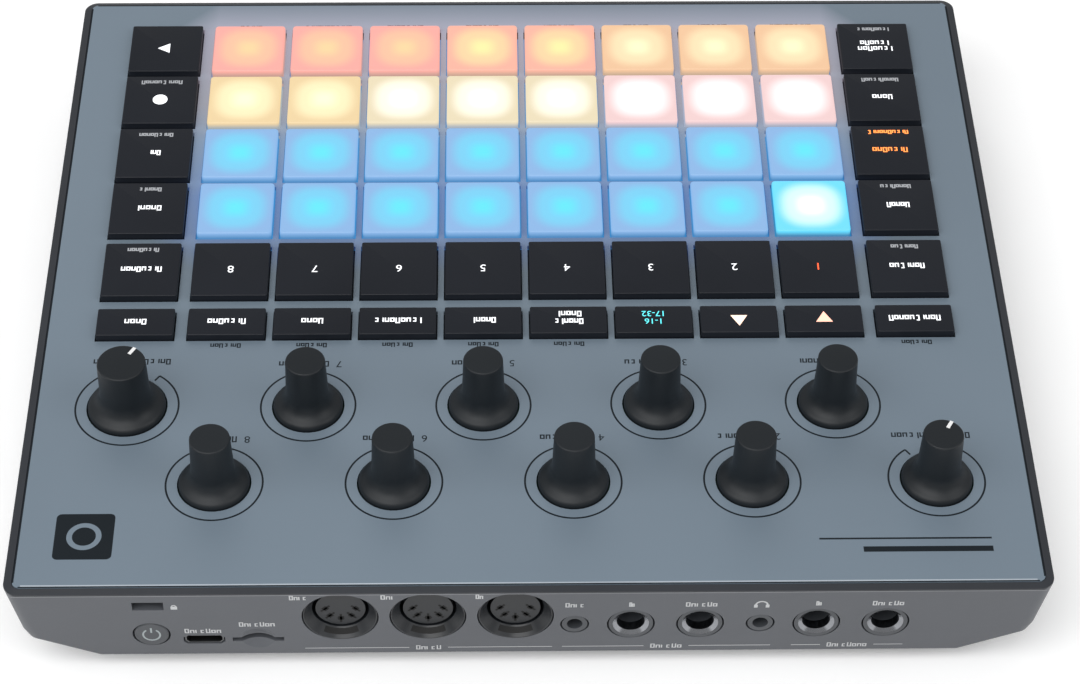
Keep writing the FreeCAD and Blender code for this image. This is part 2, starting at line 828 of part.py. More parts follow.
mat = new_body("pad_mat")
base = new_sketch(mat, "XY_Plane", "0", "first_row + 1.5 * row_pitch", "board_top + film_thickness")
rectangle(
    base,
    "7 * column_pitch + key_width + 2 * mat_margin",
    "3 * row_pitch + key_length + 2 * mat_margin",
)
pad(mat, base, "mat_thickness")
one_pad = bevelled_block(mat, f"-{FIRST_COLUMN}", "first_row", "key_length", MAT_TOP, "pad_crown")
grid_of(mat, [one_pad], [("X", "7 * column_pitch", 8), ("Y", "3 * row_pitch", 4)])

film = new_body("pad_sensor_film")
film_outline = new_sketch(film, "XY_Plane", "0", "first_row + 1.5 * row_pitch", "board_top")
rectangle(
    film_outline,
    "7 * column_pitch + key_width + 2 * mat_margin",
    "3 * row_pitch + key_length + 2 * mat_margin",
)
pad(film, film_outline, "film_thickness")


# Main board, with holes for the three middle screws

board = new_body("main_board")
board_outline = new_sketch(board, "XY_Plane", "0", "(board_rear - board_front) / 2", BOARD_UNDER)
rectangle(board_outline, "board_width", "board_rear + board_front", "corner_radius")
pad(board, board_outline, "board_thickness")
screw_hole = well(board, "screw_radius + screw_fit", "-post_columns", CROSSBAR, "0", "board_top + 1")
row_of(board, [screw_hole], "X", "2 * post_columns", 3)

# Tactile switches under the 28 keys: a square body and its actuator

switches = new_body("key_switches")


def switch(x, y):
    foot = new_sketch(switches, "XY_Plane", x, y, "board_top")
    rectangle(foot, "switch_body", "switch_body")
    cap = new_sketch(switches, "XY_Plane", x, y, "board_top")
    rectangle(cap, "2 * switch_cap", "2 * switch_cap")
    return [
        pad(switches, foot, f"{SWITCH_TOP} - board_top - 0.4"),
        pad(switches, cap, f"{SWITCH_TOP} - board_top"),
    ]


grid_of(
    switches,
    switch(f"-{SIDE_COLUMN}", "first_row"),
    [("X", f"2 * {SIDE_COLUMN}", 2), ("Y", "3 * row_pitch", 4)],
)
for y in (TRACK_ROW, FUNCTION_ROW):
    row_of(switches, switch(f"-{FIRST_COLUMN}", y), "X", "7 * column_pitch", 8)
    row_of(switches, switch(f"-{SIDE_COLUMN}", y), "X", f"2 * {SIDE_COLUMN}", 2)


# Keys: a hard cap with bevelled top edges, a retaining flange under the plate and a nub below


def key(label, x, y, length):
    body = new_body(label)
    flange = new_sketch(body, "XY_Plane", z=f"{FLANGE_TOP} - flange_thickness")
    rectangle(flange, "key_width + 2 * key_flange", f"{length} + 2 * key_flange")
    pad(body, flange, "flange_thickness")
    nub = new_sketch(body, "XY_Plane", z=f"{FLANGE_TOP} - flange_thickness")
    rectangle(nub, "nub_size", "nub_size")
    pad(body, nub, "nub_height", reverse=True)
    bevelled_block(body, "0", "0", length, FLANGE_TOP, "key_crown")
    place(body, x, y)


SIDE_KEYS = {
    "right": ["play_button", "record_button", "effects_button", "mixer_button"],
    "left": ["pattern_settings_button", "gate_button", "velocity_button", "note_button"],
}
for side, sign in (("right", ""), ("left", "-")):
    for index, label in enumerate(SIDE_KEYS[side]):
        key(label, sign + SIDE_COLUMN, f"first_row + {index} * row_pitch", "key_length")
key("patterns_button", SIDE_COLUMN, TRACK_ROW, "key_length")
key("sample_button", f"-{SIDE_COLUMN}", TRACK_ROW, "key_length")
for track in range(1, 9):
    column = f"{track - 4.5} * column_pitch"
    key(f"track_button_{track}", column, TRACK_ROW, "key_length")
FUNCTION_KEYS = [
    "down_button",
    "up_button",
    "page_button",
    "tempo_button",
    "clear_button",
    "duplicate_button",
    "save_button",
    "projects_button",
]
for index, label in enumerate(FUNCTION_KEYS):
    key(label, f"{index - 3.5} * column_pitch", FUNCTION_ROW, "function_length")
key("shift_button", SIDE_COLUMN, FUNCTION_ROW, "function_length")
key("sample_record_button", f"-{SIDE_COLUMN}", FUNCTION_ROW, "function_length")


# Knobs: a slim cap flaring to a wide skirt, hollow below for the encoder's bush


def knob(label, x, y, sizes, pointer_angle=None):
    height, cap, neck, skirt = sizes
    body = new_body(label + "_cap")
    top = f"(plate_top + {height})"
    foot = "(plate_top - skirt_sink)"
    flare_foot = f"({foot} + skirt_edge)"
    swell = f"({skirt} - cap_chamfer - {neck})"
    sketch = new_sketch(body, "XZ_Plane")
    outline(
        sketch,
        [
            ("0", top),
            (f"{cap} - cap_chamfer", top),
            (cap, f"{top} - cap_chamfer"),
            (neck, f"{flare_foot} + flare_height"),
            (f"{neck} + 0.14 * {swell}", f"{flare_foot} + 0.58 * flare_height"),
            (f"{neck} + 0.48 * {swell}", f"{flare_foot} + 0.23 * flare_height"),
            (f"{skirt} - cap_chamfer", flare_foot),
            (skirt, f"{flare_foot} - cap_chamfer"),
            (skirt, foot),
            ("hub_recess", foot),
            ("hub_recess", f"{foot} + hub_height"),
            ("shaft_radius", f"{foot} + hub_height"),
            ("shaft_radius", "shaft_top + 0.2"),
            ("0", "shaft_top + 0.2"),
        ],
    )
    revolve(body, sketch)
    if pointer_angle is not None:
        groove = new_sketch(body, "XY_Plane", "0", f"{cap} + 1 - pointer_length / 2", f"{top} + 1")
        rectangle(groove, "pointer_width", "pointer_length")
        pocket(body, groove, "pointer_depth + 1")
        body.Placement.Rotation = FreeCAD.Rotation(FreeCAD.Vector(0, 0, 1), pointer_angle)
    place(body, x, y)
    shaft = doc.addObject("Part::Cylinder", label + "_shaft")
    bind(shaft, "Radius", "shaft_radius")
    bind(shaft, "Height", "shaft_top - shaft_foot")
    place(shaft, x, y, "shaft_foot")
    pair = doc.addObject("Part::Compound", label)
    pair.Label = label
    pair.Links = [body, shaft]


ENCODER = ("knob_height", "cap_radius", "neck_radius", "skirt_radius")
FILTER = ("filter_height", "filter_cap", "filter_neck", "filter_skirt")
POINTER_AT_MINIMUM = 150
for index in range(8):
    row = "upper_knobs" if index % 2 == 0 else "lower_knobs"
    knob(f"encoder_knob_{index + 1}", f"{index - 3.5} * column_pitch", row, ENCODER)
knob("master_filter_knob", SIDE_COLUMN, "upper_knobs", FILTER, POINTER_AT_MINIMUM)
knob("master_volume_knob", f"-{SIDE_COLUMN}", "lower_knobs", ENCODER, POINTER_AT_MINIMUM)


# Encoder and potentiometer bodies: a square case on the board and a bush round the shaft


def rotary_body(body, x, y, size):
    box = new_sketch(body, "XY_Plane", x, y, "board_top")
    rectangle(box, size, size)
    bush = new_sketch(body, "XY_Plane", x, y, "board_top")
    circle(bush, "bush_radius")
    socket = new_sketch(body, "XY_Plane", x, y, "board_top + encoder_height + bush_height + 1")
    circle(socket, "shaft_radius + shaft_fit")
    return [
        pad(body, box, "encoder_height"),
        pad(body, bush, "encoder_height + bush_height"),
        pocket(body, socket, "board_top + encoder_height + bush_height + 1 - shaft_foot + 0.2"),
    ]


encoders = new_body("encoder_bodies")
for first, row in ((f"-{FIRST_COLUMN}", "upper_knobs"), (f"column_pitch - {FIRST_COLUMN}", "lower_knobs")):
    row_of(encoders, rotary_body(encoders, first, row, "encoder_size"), "X", "6 * column_pitch", 4)
pots = new_body("potentiometers")
rotary_body(pots, SIDE_COLUMN, "upper_knobs", "pot_size")
rotary_body(pots, f"-{SIDE_COLUMN}", "lower_knobs", "pot_size")


# Connector board and the sockets on it; their solids run along Y


def block(body, x, z, near, far, shape):
    """A solid along Y from near to far; shape is a radius, or a width, a height and a corner."""
    sketch = new_sketch(body, "XZ_Plane", x, z, f"-({far})")
    shape_on(sketch, shape)
    return pad(body, sketch, f"({far}) - ({near})")


def mouth(body, x, z, far, depth, shape):
    """A hole from the rear; its sketch starts 1 mm outside the face."""
    sketch = new_sketch(body, "XZ_Plane", x, z, f"-({far} + 1)")
    shape_on(sketch, shape)
    return pocket(body, sketch, f"{depth} + 1", reverse=True)


lower_board = new_body("connector_board")
lower_outline = new_sketch(
    lower_board, "XY_Plane", "0", "(lower_board_rear + lower_board_front) / 2", LOWER_UNDER
)
rectangle(lower_outline, "2 * lower_board_half", "lower_board_rear - lower_board_front")
pad(lower_board, lower_outline, "board_thickness")

jacks = new_body("jack_sockets_large")
JACK_MIDDLE = "(jack_body_top + lower_board_top) / 2"
parts = []
for k in (0, 1):
    x = f"first_jack - {k} * jack_pitch"
    parts += [
        block(
            jacks,
            x,
            JACK_MIDDLE,
            "socket_face - jack_depth - 3",
            "socket_seat",
            ["jack_body", "jack_body_top - lower_board_top"],
        ),
        block(jacks, x, "jack_height", "socket_seat - 1", "socket_face", ["jack_nose"]),
        mouth(jacks, x, "jack_height", "socket_face", "jack_depth", ["jack_bore"]),
        mouth(jacks, x, "jack_height", "socket_face", "collar_length", ["collar_radius + collar_fit"]),
    ]
row_of(jacks, parts, "X", "jack_group", 2).Reversed = True

collars = new_body("jack_collars")
parts = []
for k in (0, 1):
    ring = new_sketch(collars, "XY_Plane", f"first_jack - {k} * jack_pitch", "0", "jack_height")
    outline(
        ring,
        [
            ("jack_bore", "socket_face - collar_length"),
            ("collar_radius", "socket_face - collar_length"),
            ("collar_radius", "socket_face"),
            ("jack_bore", "socket_face - collar_chamfer"),
        ],
    )
    parts.append(revolve(collars, ring))
row_of(collars, parts, "X", "jack_group", 2).Reversed = True

small_jacks = new_body("jack_sockets_small")
parts = [
    block(
        small_jacks,
        "first_small_jack",
        "(lower_board_top + small_body_top) / 2",
        "socket_face - small_depth - 3",
        "socket_seat",
        ["small_body", "small_body_top - lower_board_top"],
    ),
    block(small_jacks, "first_small_jack", "jack_height", "socket_seat - 1", "socket_face", ["small_nose"]),
    mouth(small_jacks, "first_small_jack", "jack_height", "socket_face", "small_depth", ["small_bore"]),
]
row_of(small_jacks, parts, "X", "jack_group", 2).Reversed = True

# five-pin sockets: a funnel, a ring groove for the plug's shell and a disc with five contacts
dins = new_body("din_sockets")
parts = [
    block(
        dins,
        "first_din",
        "(lower_board_top + din_body_top) / 2",
        "socket_seat - din_body_depth",
        "socket_seat",
        ["din_body", "din_body_top - lower_board_top"],
    ),
    block(dins, "first_din", "din_height", "socket_seat - 1", "socket_face", ["din_nose"]),
]
funnel = new_sketch(dins, "XY_Plane", "first_din", "0", "din_height")
outline(
    funnel,
    [
        ("0", "socket_face + 1"),
        ("din_funnel", "socket_face + 1"),
        ("din_funnel", "socket_face"),
        ("din_groove", "socket_face - din_face_depth"),
        ("din_groove", "socket_face - din_groove_depth"),
        ("din_disc", "socket_face - din_groove_depth"),
        ("din_disc", "socket_face - din_face_depth"),
        ("0", "socket_face - din_face_depth"),
    ],
)
parts.append(revolve(dins, funnel, "Groove"))
for step in range(5):
    turn = math.radians(180 + 45 * step)
    contact = new_sketch(
        dins,
        "XZ_Plane",
        f"first_din + din_pin_circle * {math.cos(turn):.5f}",
        f"din_height + din_pin_circle * {math.sin(turn):.5f}",
        "-socket_face",
    )
    outline(
        contact,
        [
            ("-din_pin_hole", "0"),
            ("0", "-din_pin_hole"),
            ("din_pin_hole", "0"),
            ("0", "din_pin_hole"),
        ],
    )
    parts.append(pocket(dins, contact, "din_face_depth + din_pin_depth", reverse=True))
parts.append(
    mouth(
        dins,
        "first_din",
        "din_height + din_groove",
        "socket_face",
        "din_face_depth + 2",
        ["din_key_width", "2 * din_key_height"],
    )
)
row_of(dins, parts, "X", "2 * din_pitch", 3).Reversed = True

usb = new_body("usb_socket")
block(usb, "usb_place", "port_height", "usb_face - usb_depth", "usb_face", ["usb_width", "usb_height", "card_mouth"])
mouth(
    usb,
    "usb_place",
    "port_height",
    "usb_face",
    "usb_depth - 1.5",
    ["usb_width - 2 * usb_skin", "usb_height - 2 * usb_skin", "card_mouth * 0.8"],
)
block(usb, "usb_place", "port_height", "usb_face - usb_depth + 1", "usb_face - 1", ["usb_width - 2.2", "0.7"])

card = new_body("card_socket")
block(
    card,
    "card_place",
    "lower_board_top + card_body_height / 2",
    "card_face - card_body_depth",
    "card_face",
    ["card_body_width", "card_body_height"],
)
mouth(card, "card_place", "port_height", "card_face", "card_body_depth - 2", ["card_slot_width - 0.9", "card_mouth"])

button = new_body("power_button")
button_outline = new_sketch(button, "XY_Plane", z="0")
outline(
    button_outline,
    [
        ("0", "power_back"),
        ("power_flange", "power_back"),
        ("power_flange", "power_stop"),
        ("power_cap", "power_stop"),
        ("power_cap", "power_face - 0.3"),
        ("power_cap - 0.3", "power_face"),
        ("0", "power_face"),
    ],
)
revolve(button, button_outline)
place(button, "power_place", "0", "power_height")

switch_block = new_body("power_switch")
block(
    switch_block,
    "power_place",
    "lower_board_top + power_switch_size / 2",
    "power_plunger - 2 - power_switch_depth",
    "power_plunger - 2",
    ["power_switch_size", "power_switch_size"],
)
block(switch_block, "power_place", "power_height", "power_plunger - 3", "power_plunger", ["switch_cap"])


# Battery pack, ribbon cable, feet and screws

battery = new_body("battery_pack")
battery_outline = new_sketch(battery, "XY_Plane", "0", "battery_place", FLOOR_TOP)
rectangle(battery_outline, "battery_width", "battery_depth", "battery_corner")
pad(battery, battery_outline, "battery_height")

ribbon = new_body("ribbon_cable")
fold = new_sketch(ribbon, "YZ_Plane", "0", "0", "ribbon_place")
LOWER_END = "(lower_board_front + 2)"
outline(
    fold,
    [
        ("ribbon_reach", BOARD_UNDER),
        ("ribbon_reach", f"{BOARD_UNDER} - ribbon_thickness"),
        (f"{LOWER_END} - 2 * ribbon_thickness", f"{BOARD_UNDER} - ribbon_thickness"),
        (f"{LOWER_END} - ribbon_thickness", f"{BOARD_UNDER} - 2 * ribbon_thickness"),
        (f"{LOWER_END} - ribbon_thickness", "lower_board_top"),
        (LOWER_END, "lower_board_top"),
        (LOWER_END, f"{BOARD_UNDER} - 1.6 * ribbon_thickness"),
        (f"{LOWER_END} - 1.6 * ribbon_thickness", BOARD_UNDER),
    ],
)
pad(ribbon, fold, "ribbon_width", middle=True)

feet = new_body("rubber_feet")
foot_outline = new_sketch(feet, "XZ_Plane", "-foot_columns", "0", "foot_front")
outline(
    foot_outline,
    [
        ("0", "0"),
        ("foot_radius - foot_chamfer", "0"),
        ("foot_radius", "foot_chamfer"),
        ("foot_radius", "underside + foot_sink"),
        ("0", "underside + foot_sink"),
    ],
)
grid_of(
    feet,
    [revolve(feet, foot_outline)],
    [("X", "2 * foot_columns", 2), ("Y", "foot_front + foot_rear", 2)],
)

screws = new_body("case_screws")
HEAD_SEAT = "(underside + well_depth)"
for column, across, count, top in (MID_SCREWS, REAR_SCREWS):
    head = upright(screws, "screw_head", f"-{column}", across, f"({HEAD_SEAT} - screw_head_height)", HEAD_SEAT)
    shank = upright(screws, "screw_radius", f"-{column}", across, HEAD_SEAT, f"({PLATE_UNDER} - 1)")
    row_of(screws, [head, shank], "X", f"2 * {column}", count)


# Check every piece and write one file for each

doc.removeObject(gauge.Name)
doc.recompute()
os.makedirs("parts", exist_ok=True)
pieces = [o for o in doc.Objects if o.isDerivedFrom("PartDesign::Body") or o.TypeId == "Part::Compound"]
inside_pairs = [link for o in pieces if o.TypeId == "Part::Compound" for link in o.Links]
pieces = [piece for piece in pieces if piece not in inside_pairs]
for thing in doc.Objects:
    if "Invalid" in thing.State or "Error" in thing.State:
        raise RuntimeError("not worked out: " + thing.Label)
for piece in pieces:
    shape = piece.Shape
    if shape.isNull() or not shape.isValid() or shape.Volume <= 0:
        raise RuntimeError("bad shape: " + piece.Label)
    Part.export([piece], os.path.join("parts", piece.Label + ".step"))
print(len(pieces), "pieces written")
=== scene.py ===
import math

import bmesh
import bpy
from bpy.props import FloatProperty, FloatVectorProperty, PointerProperty
from mathutils import Matrix, Vector


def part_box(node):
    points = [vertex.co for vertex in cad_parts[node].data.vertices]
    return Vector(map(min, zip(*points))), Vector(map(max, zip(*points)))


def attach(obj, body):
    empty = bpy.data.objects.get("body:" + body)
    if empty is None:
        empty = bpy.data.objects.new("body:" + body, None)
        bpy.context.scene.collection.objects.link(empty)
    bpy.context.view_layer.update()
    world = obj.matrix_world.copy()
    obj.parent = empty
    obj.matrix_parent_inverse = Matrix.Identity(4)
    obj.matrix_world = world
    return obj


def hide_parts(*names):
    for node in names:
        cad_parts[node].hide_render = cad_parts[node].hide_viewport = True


bl_info = {
    "name": "Drum machine dressing",
    "version": (1, 0, 0),
    "blender": (4, 5, 0),
    "location": "3D View > Sidebar > Drum machine",
    "description": "Dresses a drum machine's frame with lit pads, keys, knobs, sockets and print",
    "category": "Object",
}

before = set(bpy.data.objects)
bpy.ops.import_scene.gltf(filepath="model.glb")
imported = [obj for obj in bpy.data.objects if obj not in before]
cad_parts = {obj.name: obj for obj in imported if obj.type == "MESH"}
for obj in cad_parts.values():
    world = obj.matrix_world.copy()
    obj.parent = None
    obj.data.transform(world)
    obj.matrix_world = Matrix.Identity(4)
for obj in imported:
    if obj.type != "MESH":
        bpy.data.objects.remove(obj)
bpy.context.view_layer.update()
MM = 0.001


def middle(node):
    """The middle of a node's box at rest."""
    low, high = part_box(node)
    return (Vector(low) + Vector(high)) / 2


COLUMNS = [middle(f"track_button_{n}").x for n in range(1, 9)]
RIGHT_KEYS = ["play_button", "record_button", "effects_button", "mixer_button"]
LEFT_KEYS = ["pattern_settings_button", "gate_button", "velocity_button", "note_button"]
ROWS = [middle(name).y for name in RIGHT_KEYS]
TRACK_KEYS = [f"track_button_{n}" for n in range(1, 9)]
FUNCTION_KEYS = [
    "down_button",
    "up_button",
    "page_button",
    "tempo_button",
    "clear_button",
    "duplicate_button",
    "save_button",
    "projects_button",
]
CORNER_KEYS = ["patterns_button", "sample_button", "shift_button", "sample_record_button"]
KEYS = RIGHT_KEYS + LEFT_KEYS + TRACK_KEYS + FUNCTION_KEYS + CORNER_KEYS
ENCODERS = [f"encoder_knob_{n}" for n in range(1, 9)]
LIMITED_KNOBS = ["master_filter_knob", "master_volume_knob"]
PLATE_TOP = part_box("face_plate")[1][2]
KEY_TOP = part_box("play_button")[1][2]
PITCH = COLUMNS[1] - COLUMNS[0]
ROW_PITCH = ROWS[1] - ROWS[0]
# The keys and the pads stand this far inside the boxes of their nodes.
LIP = 0.45 * MM


def length(label, description, value):
    """A length in mm for the group of sizes."""
    return FloatProperty(
        name=label,
        description=description,
        default=value * MM,
        subtype="DISTANCE",
        unit="LENGTH",
    )


def tint(label, description, value):
    """A base colour for the group of colours."""
    return FloatVectorProperty(
        name=label,
        description=description,
        subtype="COLOR",
        default=value,
        min=0,
        max=1,
    )


class DrumMachineSizes(bpy.types.PropertyGroup):
    """Sizes of the details that the frame leaves to the dressing."""

    key_corner: length("Key corner", "Radius of a key's upright corners", 0.45)
    key_edge: length("Key edge", "Width of the rounded edge round a key's top", 0.25)
    pad_corner: length("Pad corner", "Radius of a pad's upright corners", 0.9)
    pad_edge: length("Pad edge", "Width of the rounded edge round a pad's top", 0.55)
    ring_gap: length("Ring gap", "Distance from a knob's skirt to the line printed round it", 2.75)
    ring_line: length("Ring line", "Width of the line printed round a knob", 0.45)
    print_lift: length("Print lift", "Height of printed marks above what carries them", 0.02)


class DrumMachineColours(bpy.types.PropertyGroup):
    """Base colours of the machine's finishes."""

    plate: tint("Face plate", "Grey-blue paint of the face plate", (0.15, 0.195, 0.24))
    case: tint("Lower case", "Grey plastic of the lower case", (0.086, 0.092, 0.104))
    rim: tint("Rim", "Dark plastic of the top frame's rim", (0.022, 0.025, 0.031))
    key: tint("Keys", "Near-black plastic of the keys", (0.009, 0.011, 0.016))
    knob: tint("Knobs", "Soft black plastic of the knobs", (0.009, 0.012, 0.015))
    ink: tint("Ink", "Dark ink of the marks on the face plate", (0.006, 0.01, 0.014))


def sizes():
    return bpy.context.scene.drum_machine_sizes


def colours():
    return bpy.context.scene.drum_machine_colours


# Materials

# Power of the curve that shapes a pad's glow: 2 would be an ellipse, more is squarer.
ROUNDNESS = 2.6
# Light on the plate from the front of the pads to their rear.
SPILL_COLOURS = [
    (0.0, (0.24, 0.2, 0.25)),
    (0.38, (0.18, 0.14, 0.16)),
    (0.55, (0.08, 0.12, 0.2)),
    (0.8, (0.0, 0.04, 0.2)),
    (1.0, (0.0, 0.02, 0.12)),
]


def material(name):
    """A new node material, its nodes, its links and its shader."""
    made = bpy.data.materials.new(name)
    made.use_nodes = True
    nodes = made.node_tree.nodes
    return made, nodes, made.node_tree.links, nodes["Principled BSDF"]


def add_grain(nodes, links, place, shader, scale, strength):
    """A fine moulded grain in a shader's normals."""
    fine = nodes.new("ShaderNodeTexNoise")
    fine.inputs["Scale"].default_value = scale
    fine.inputs["Detail"].default_value = 2.0
    links.new(place.outputs["Object"], fine.inputs["Vector"])
    relief = nodes.new("ShaderNodeBump")
    relief.inputs["Strength"].default_value = strength
    relief.inputs["Distance"].default_value = 0.0001
    links.new(fine.outputs["Fac"], relief.inputs["Height"])
    links.new(relief.outputs["Normal"], shader.inputs["Normal"])


def add_ramp(nodes, links, source, stops):
    """A colour ramp over a source; stops holds (position, colour) from low to high."""
    ramp = nodes.new("ShaderNodeValToRGB")
    elements = ramp.color_ramp.elements
    for element, (position, colour) in zip(elements, (stops[0], stops[-1])):
        element.position = position
        element.color = (*colour, 1.0)
    for position, colour in stops[1:-1]:
        elements.new(position).color = (*colour, 1.0)
    links.new(source, ramp.inputs["Fac"])
    return ramp


def moulded(name, colour, roughness=0.5, grain=1400.0, bump=0.12, tone=0.12, metallic=0.0, patch=30.0):
    """A plastic or metal with a fine moulded grain and a soft unevenness in tone and gloss."""
    made, nodes, links, shader = material(name)
    place = nodes.new("ShaderNodeTexCoord")
    cloud = nodes.new("ShaderNodeTexNoise")
    cloud.inputs["Scale"].default_value = patch
    cloud.inputs["Detail"].default_value = 3.0
    links.new(place.outputs["Object"], cloud.inputs["Vector"])
    dark = [c * (1 - tone) for c in colour]
    light = [min(1.0, c * (1 + tone)) for c in colour]
    ramp = add_ramp(nodes, links, cloud.outputs["Fac"], [(0.3, dark), (0.7, light)])
    links.new(ramp.outputs["Color"], shader.inputs["Base Color"])
    gloss = nodes.new("ShaderNodeMapRange")
    gloss.inputs["To Min"].default_value = max(0.05, roughness - 0.06)
    gloss.inputs["To Max"].default_value = min(1.0, roughness + 0.06)
    links.new(cloud.outputs["Fac"], gloss.inputs["Value"])
    links.new(gloss.outputs["Result"], shader.inputs["Roughness"])
    shader.inputs["Metallic"].default_value = metallic
    if bump:
        add_grain(nodes, links, place, shader, grain, bump)
    return made


def dulled(made, level):
    """Lowers a finish's mirror-like share."""
    made.node_tree.nodes["Principled BSDF"].inputs["Specular IOR Level"].default_value = level
    return made


def glowing(name, colour, strength):
    """A printed legend that a lamp lights from below."""
    made, _, _, shader = material(name)
    shader.inputs["Base Color"].default_value = (*colour, 1.0)
    shader.inputs["Roughness"].default_value = 0.5
    shader.inputs["Emission Color"].default_value = (*colour, 1.0)
    shader.inputs["Emission Strength"].default_value = strength
    return made


def math_node(nodes, links, kind, first, second=None):
    """A sum of one or two numbers or sockets, and the socket it comes out of."""
    node = nodes.new("ShaderNodeMath")
    node.operation = kind
    for socket, value in zip(node.inputs, (first, second)):
        if value is None:
            continue
        if isinstance(value, (int, float)):
            socket.default_value = value
        else:
            links.new(value, socket)
    return node.outputs["Value"]


def object_place(nodes, links):
    """A texture coordinate node, and a node that gives its object place as X, Y and Z."""
    place = nodes.new("ShaderNodeTexCoord")
    split = nodes.new("ShaderNodeSeparateXYZ")
    links.new(place.outputs["Object"], split.inputs["Vector"])
    return place, split


def pad_distance(nodes, links, split):
    """How far a point lies from the middle of its pad, from 0 there to about 1 at its edge."""
    reach = []
    for axis, first, pitch in (("X", COLUMNS[0], PITCH), ("Y", ROWS[0], ROW_PITCH)):
        steps = math_node(nodes, links, "MULTIPLY_ADD", split.outputs[axis], 1 / pitch)
        steps.node.inputs[2].default_value = 0.5 - first / pitch
        part = math_node(nodes, links, "FRACT", steps)
        centred = math_node(nodes, links, "SUBTRACT", part, 0.5)
        reach.append(math_node(nodes, links, "MULTIPLY", centred, 2.2))
    powers = [
        math_node(nodes, links, "POWER", math_node(nodes, links, "ABSOLUTE", value), ROUNDNESS)
        for value in reach
    ]
    total = math_node(nodes, links, "ADD", powers[0], powers[1])
    return math_node(nodes, links, "POWER", total, 1 / ROUNDNESS)


def glow_spill(made):
    """Adds the light of the pads to the paint between and round them."""
    nodes = made.node_tree.nodes
    links = made.node_tree.links
    _, split = object_place(nodes, links)
    outside = []
    for axis, first, last in (("X", COLUMNS[0], COLUMNS[-1]), ("Y", ROWS[0], ROWS[-1])):
        centred = math_node(nodes, links, "SUBTRACT", split.outputs[axis], (first + last) / 2)
        reach = math_node(nodes, links, "ABSOLUTE", centred)
        beyond = math_node(nodes, links, "SUBTRACT", reach, abs(last - first) / 2 + 9 * MM)
        outside.append(math_node(nodes, links, "MAXIMUM", beyond, 0.0))
    fade = nodes.new("ShaderNodeMapRange")
    fade.inputs["From Max"].default_value = 13 * MM
    fade.inputs["To Min"].default_value = 1.0
    fade.inputs["To Max"].default_value = 0.0
    links.new(math_node(nodes, links, "ADD", *outside), fade.inputs["Value"])
    along = nodes.new("ShaderNodeMapRange")
    along.inputs["From Min"].default_value = ROWS[0] - 12 * MM
    along.inputs["From Max"].default_value = ROWS[-1] + 12 * MM
    links.new(split.outputs["Y"], along.inputs["Value"])
    ramp = add_ramp(nodes, links, along.outputs["Result"], SPILL_COLOURS)
    shader = nodes["Principled BSDF"]
    links.new(ramp.outputs["Color"], shader.inputs["Emission Color"])
    links.new(fade.outputs["Result"], shader.inputs["Emission Strength"])
    return made


def lit_silicone(name, foot, edge, heart):
    """Milky silicone lit from below: pale in its middle, saturated at its edges, dim at its foot."""
    made, nodes, links, shader = material(name)
    place, split = object_place(nodes, links)
    mid = [(a + b) / 2 for a, b in zip(edge, heart)]
    distance = pad_distance(nodes, links, split)
    ramp = add_ramp(nodes, links, distance, [(0.05, heart), (0.55, mid), (1.0, edge)])
    ramp.color_ramp.interpolation = "EASE"
    rise = nodes.new("ShaderNodeMapRange")
    rise.inputs["From Min"].default_value = PLATE_TOP + 0.1 * MM
    rise.inputs["From Max"].default_value = PLATE_TOP + 1.5 * MM
    links.new(split.outputs["Z"], rise.inputs["Value"])
    # for colours, a mix node's sockets are 0 for the share, 6 and 7 for A and B, and 2 for the result
    blend = nodes.new("ShaderNodeMix")
    blend.data_type = "RGBA"
    blend.inputs[6].default_value = (*foot, 1.0)
    links.new(rise.outputs["Result"], blend.inputs[0])
    links.new(ramp.outputs["Color"], blend.inputs[7])
    links.new(blend.outputs[2], shader.inputs["Emission Color"])
    shader.inputs["Base Color"].default_value = (0.1, 0.105, 0.11, 1.0)
    shader.inputs["Emission Strength"].default_value = 1.0
    shader.inputs["Roughness"].default_value = 0.42
    add_grain(nodes, links, place, shader, 1800.0, 0.08)
    return made


# Making pieces


def new_piece(name, bm, finish, body, stands_for=(), smooth=35.0):
    """Makes an object of a bmesh, gives it its finishes and lets it ride on a body."""
    mesh = bpy.data.meshes.new(name)
    bm.to_mesh(mesh)
    bm.free()
    if smooth:
        mesh.shade_smooth()
        mesh.set_sharp_from_angle(angle=math.radians(smooth))
    for item in finish if isinstance(finish, list) else [finish]:
        mesh.materials.append(item)
    piece = bpy.data.objects.new(name, mesh)
    bpy.context.collection.objects.link(piece)
    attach(piece, body)
    if stands_for:
        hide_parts(*stands_for)


def print_piece(name, bm, finish, body):
    """A piece of flat marks that face up."""
    face_up(bm)
    new_piece(name, bm, finish, body, smooth=0)


def dress(name, finish):
    """Gives a node of the frame one finish."""
    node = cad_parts[name]
    node.data.materials.clear()
    node.data.materials.append(finish)


def join(bm, other):
    """Adds one bmesh to another and frees it."""
    mesh = bpy.data.meshes.new("joining")
    other.to_mesh(mesh)
    other.free()
    bm.from_mesh(mesh)
    bpy.data.meshes.remove(mesh)


def bevel(bm, edges, offset, segments):
    bmesh.ops.bevel(
        bm,
        geom=edges,
        offset=offset,
        segments=segments,
        profile=0.5,
        affect="EDGES",
        material=-1,
    )


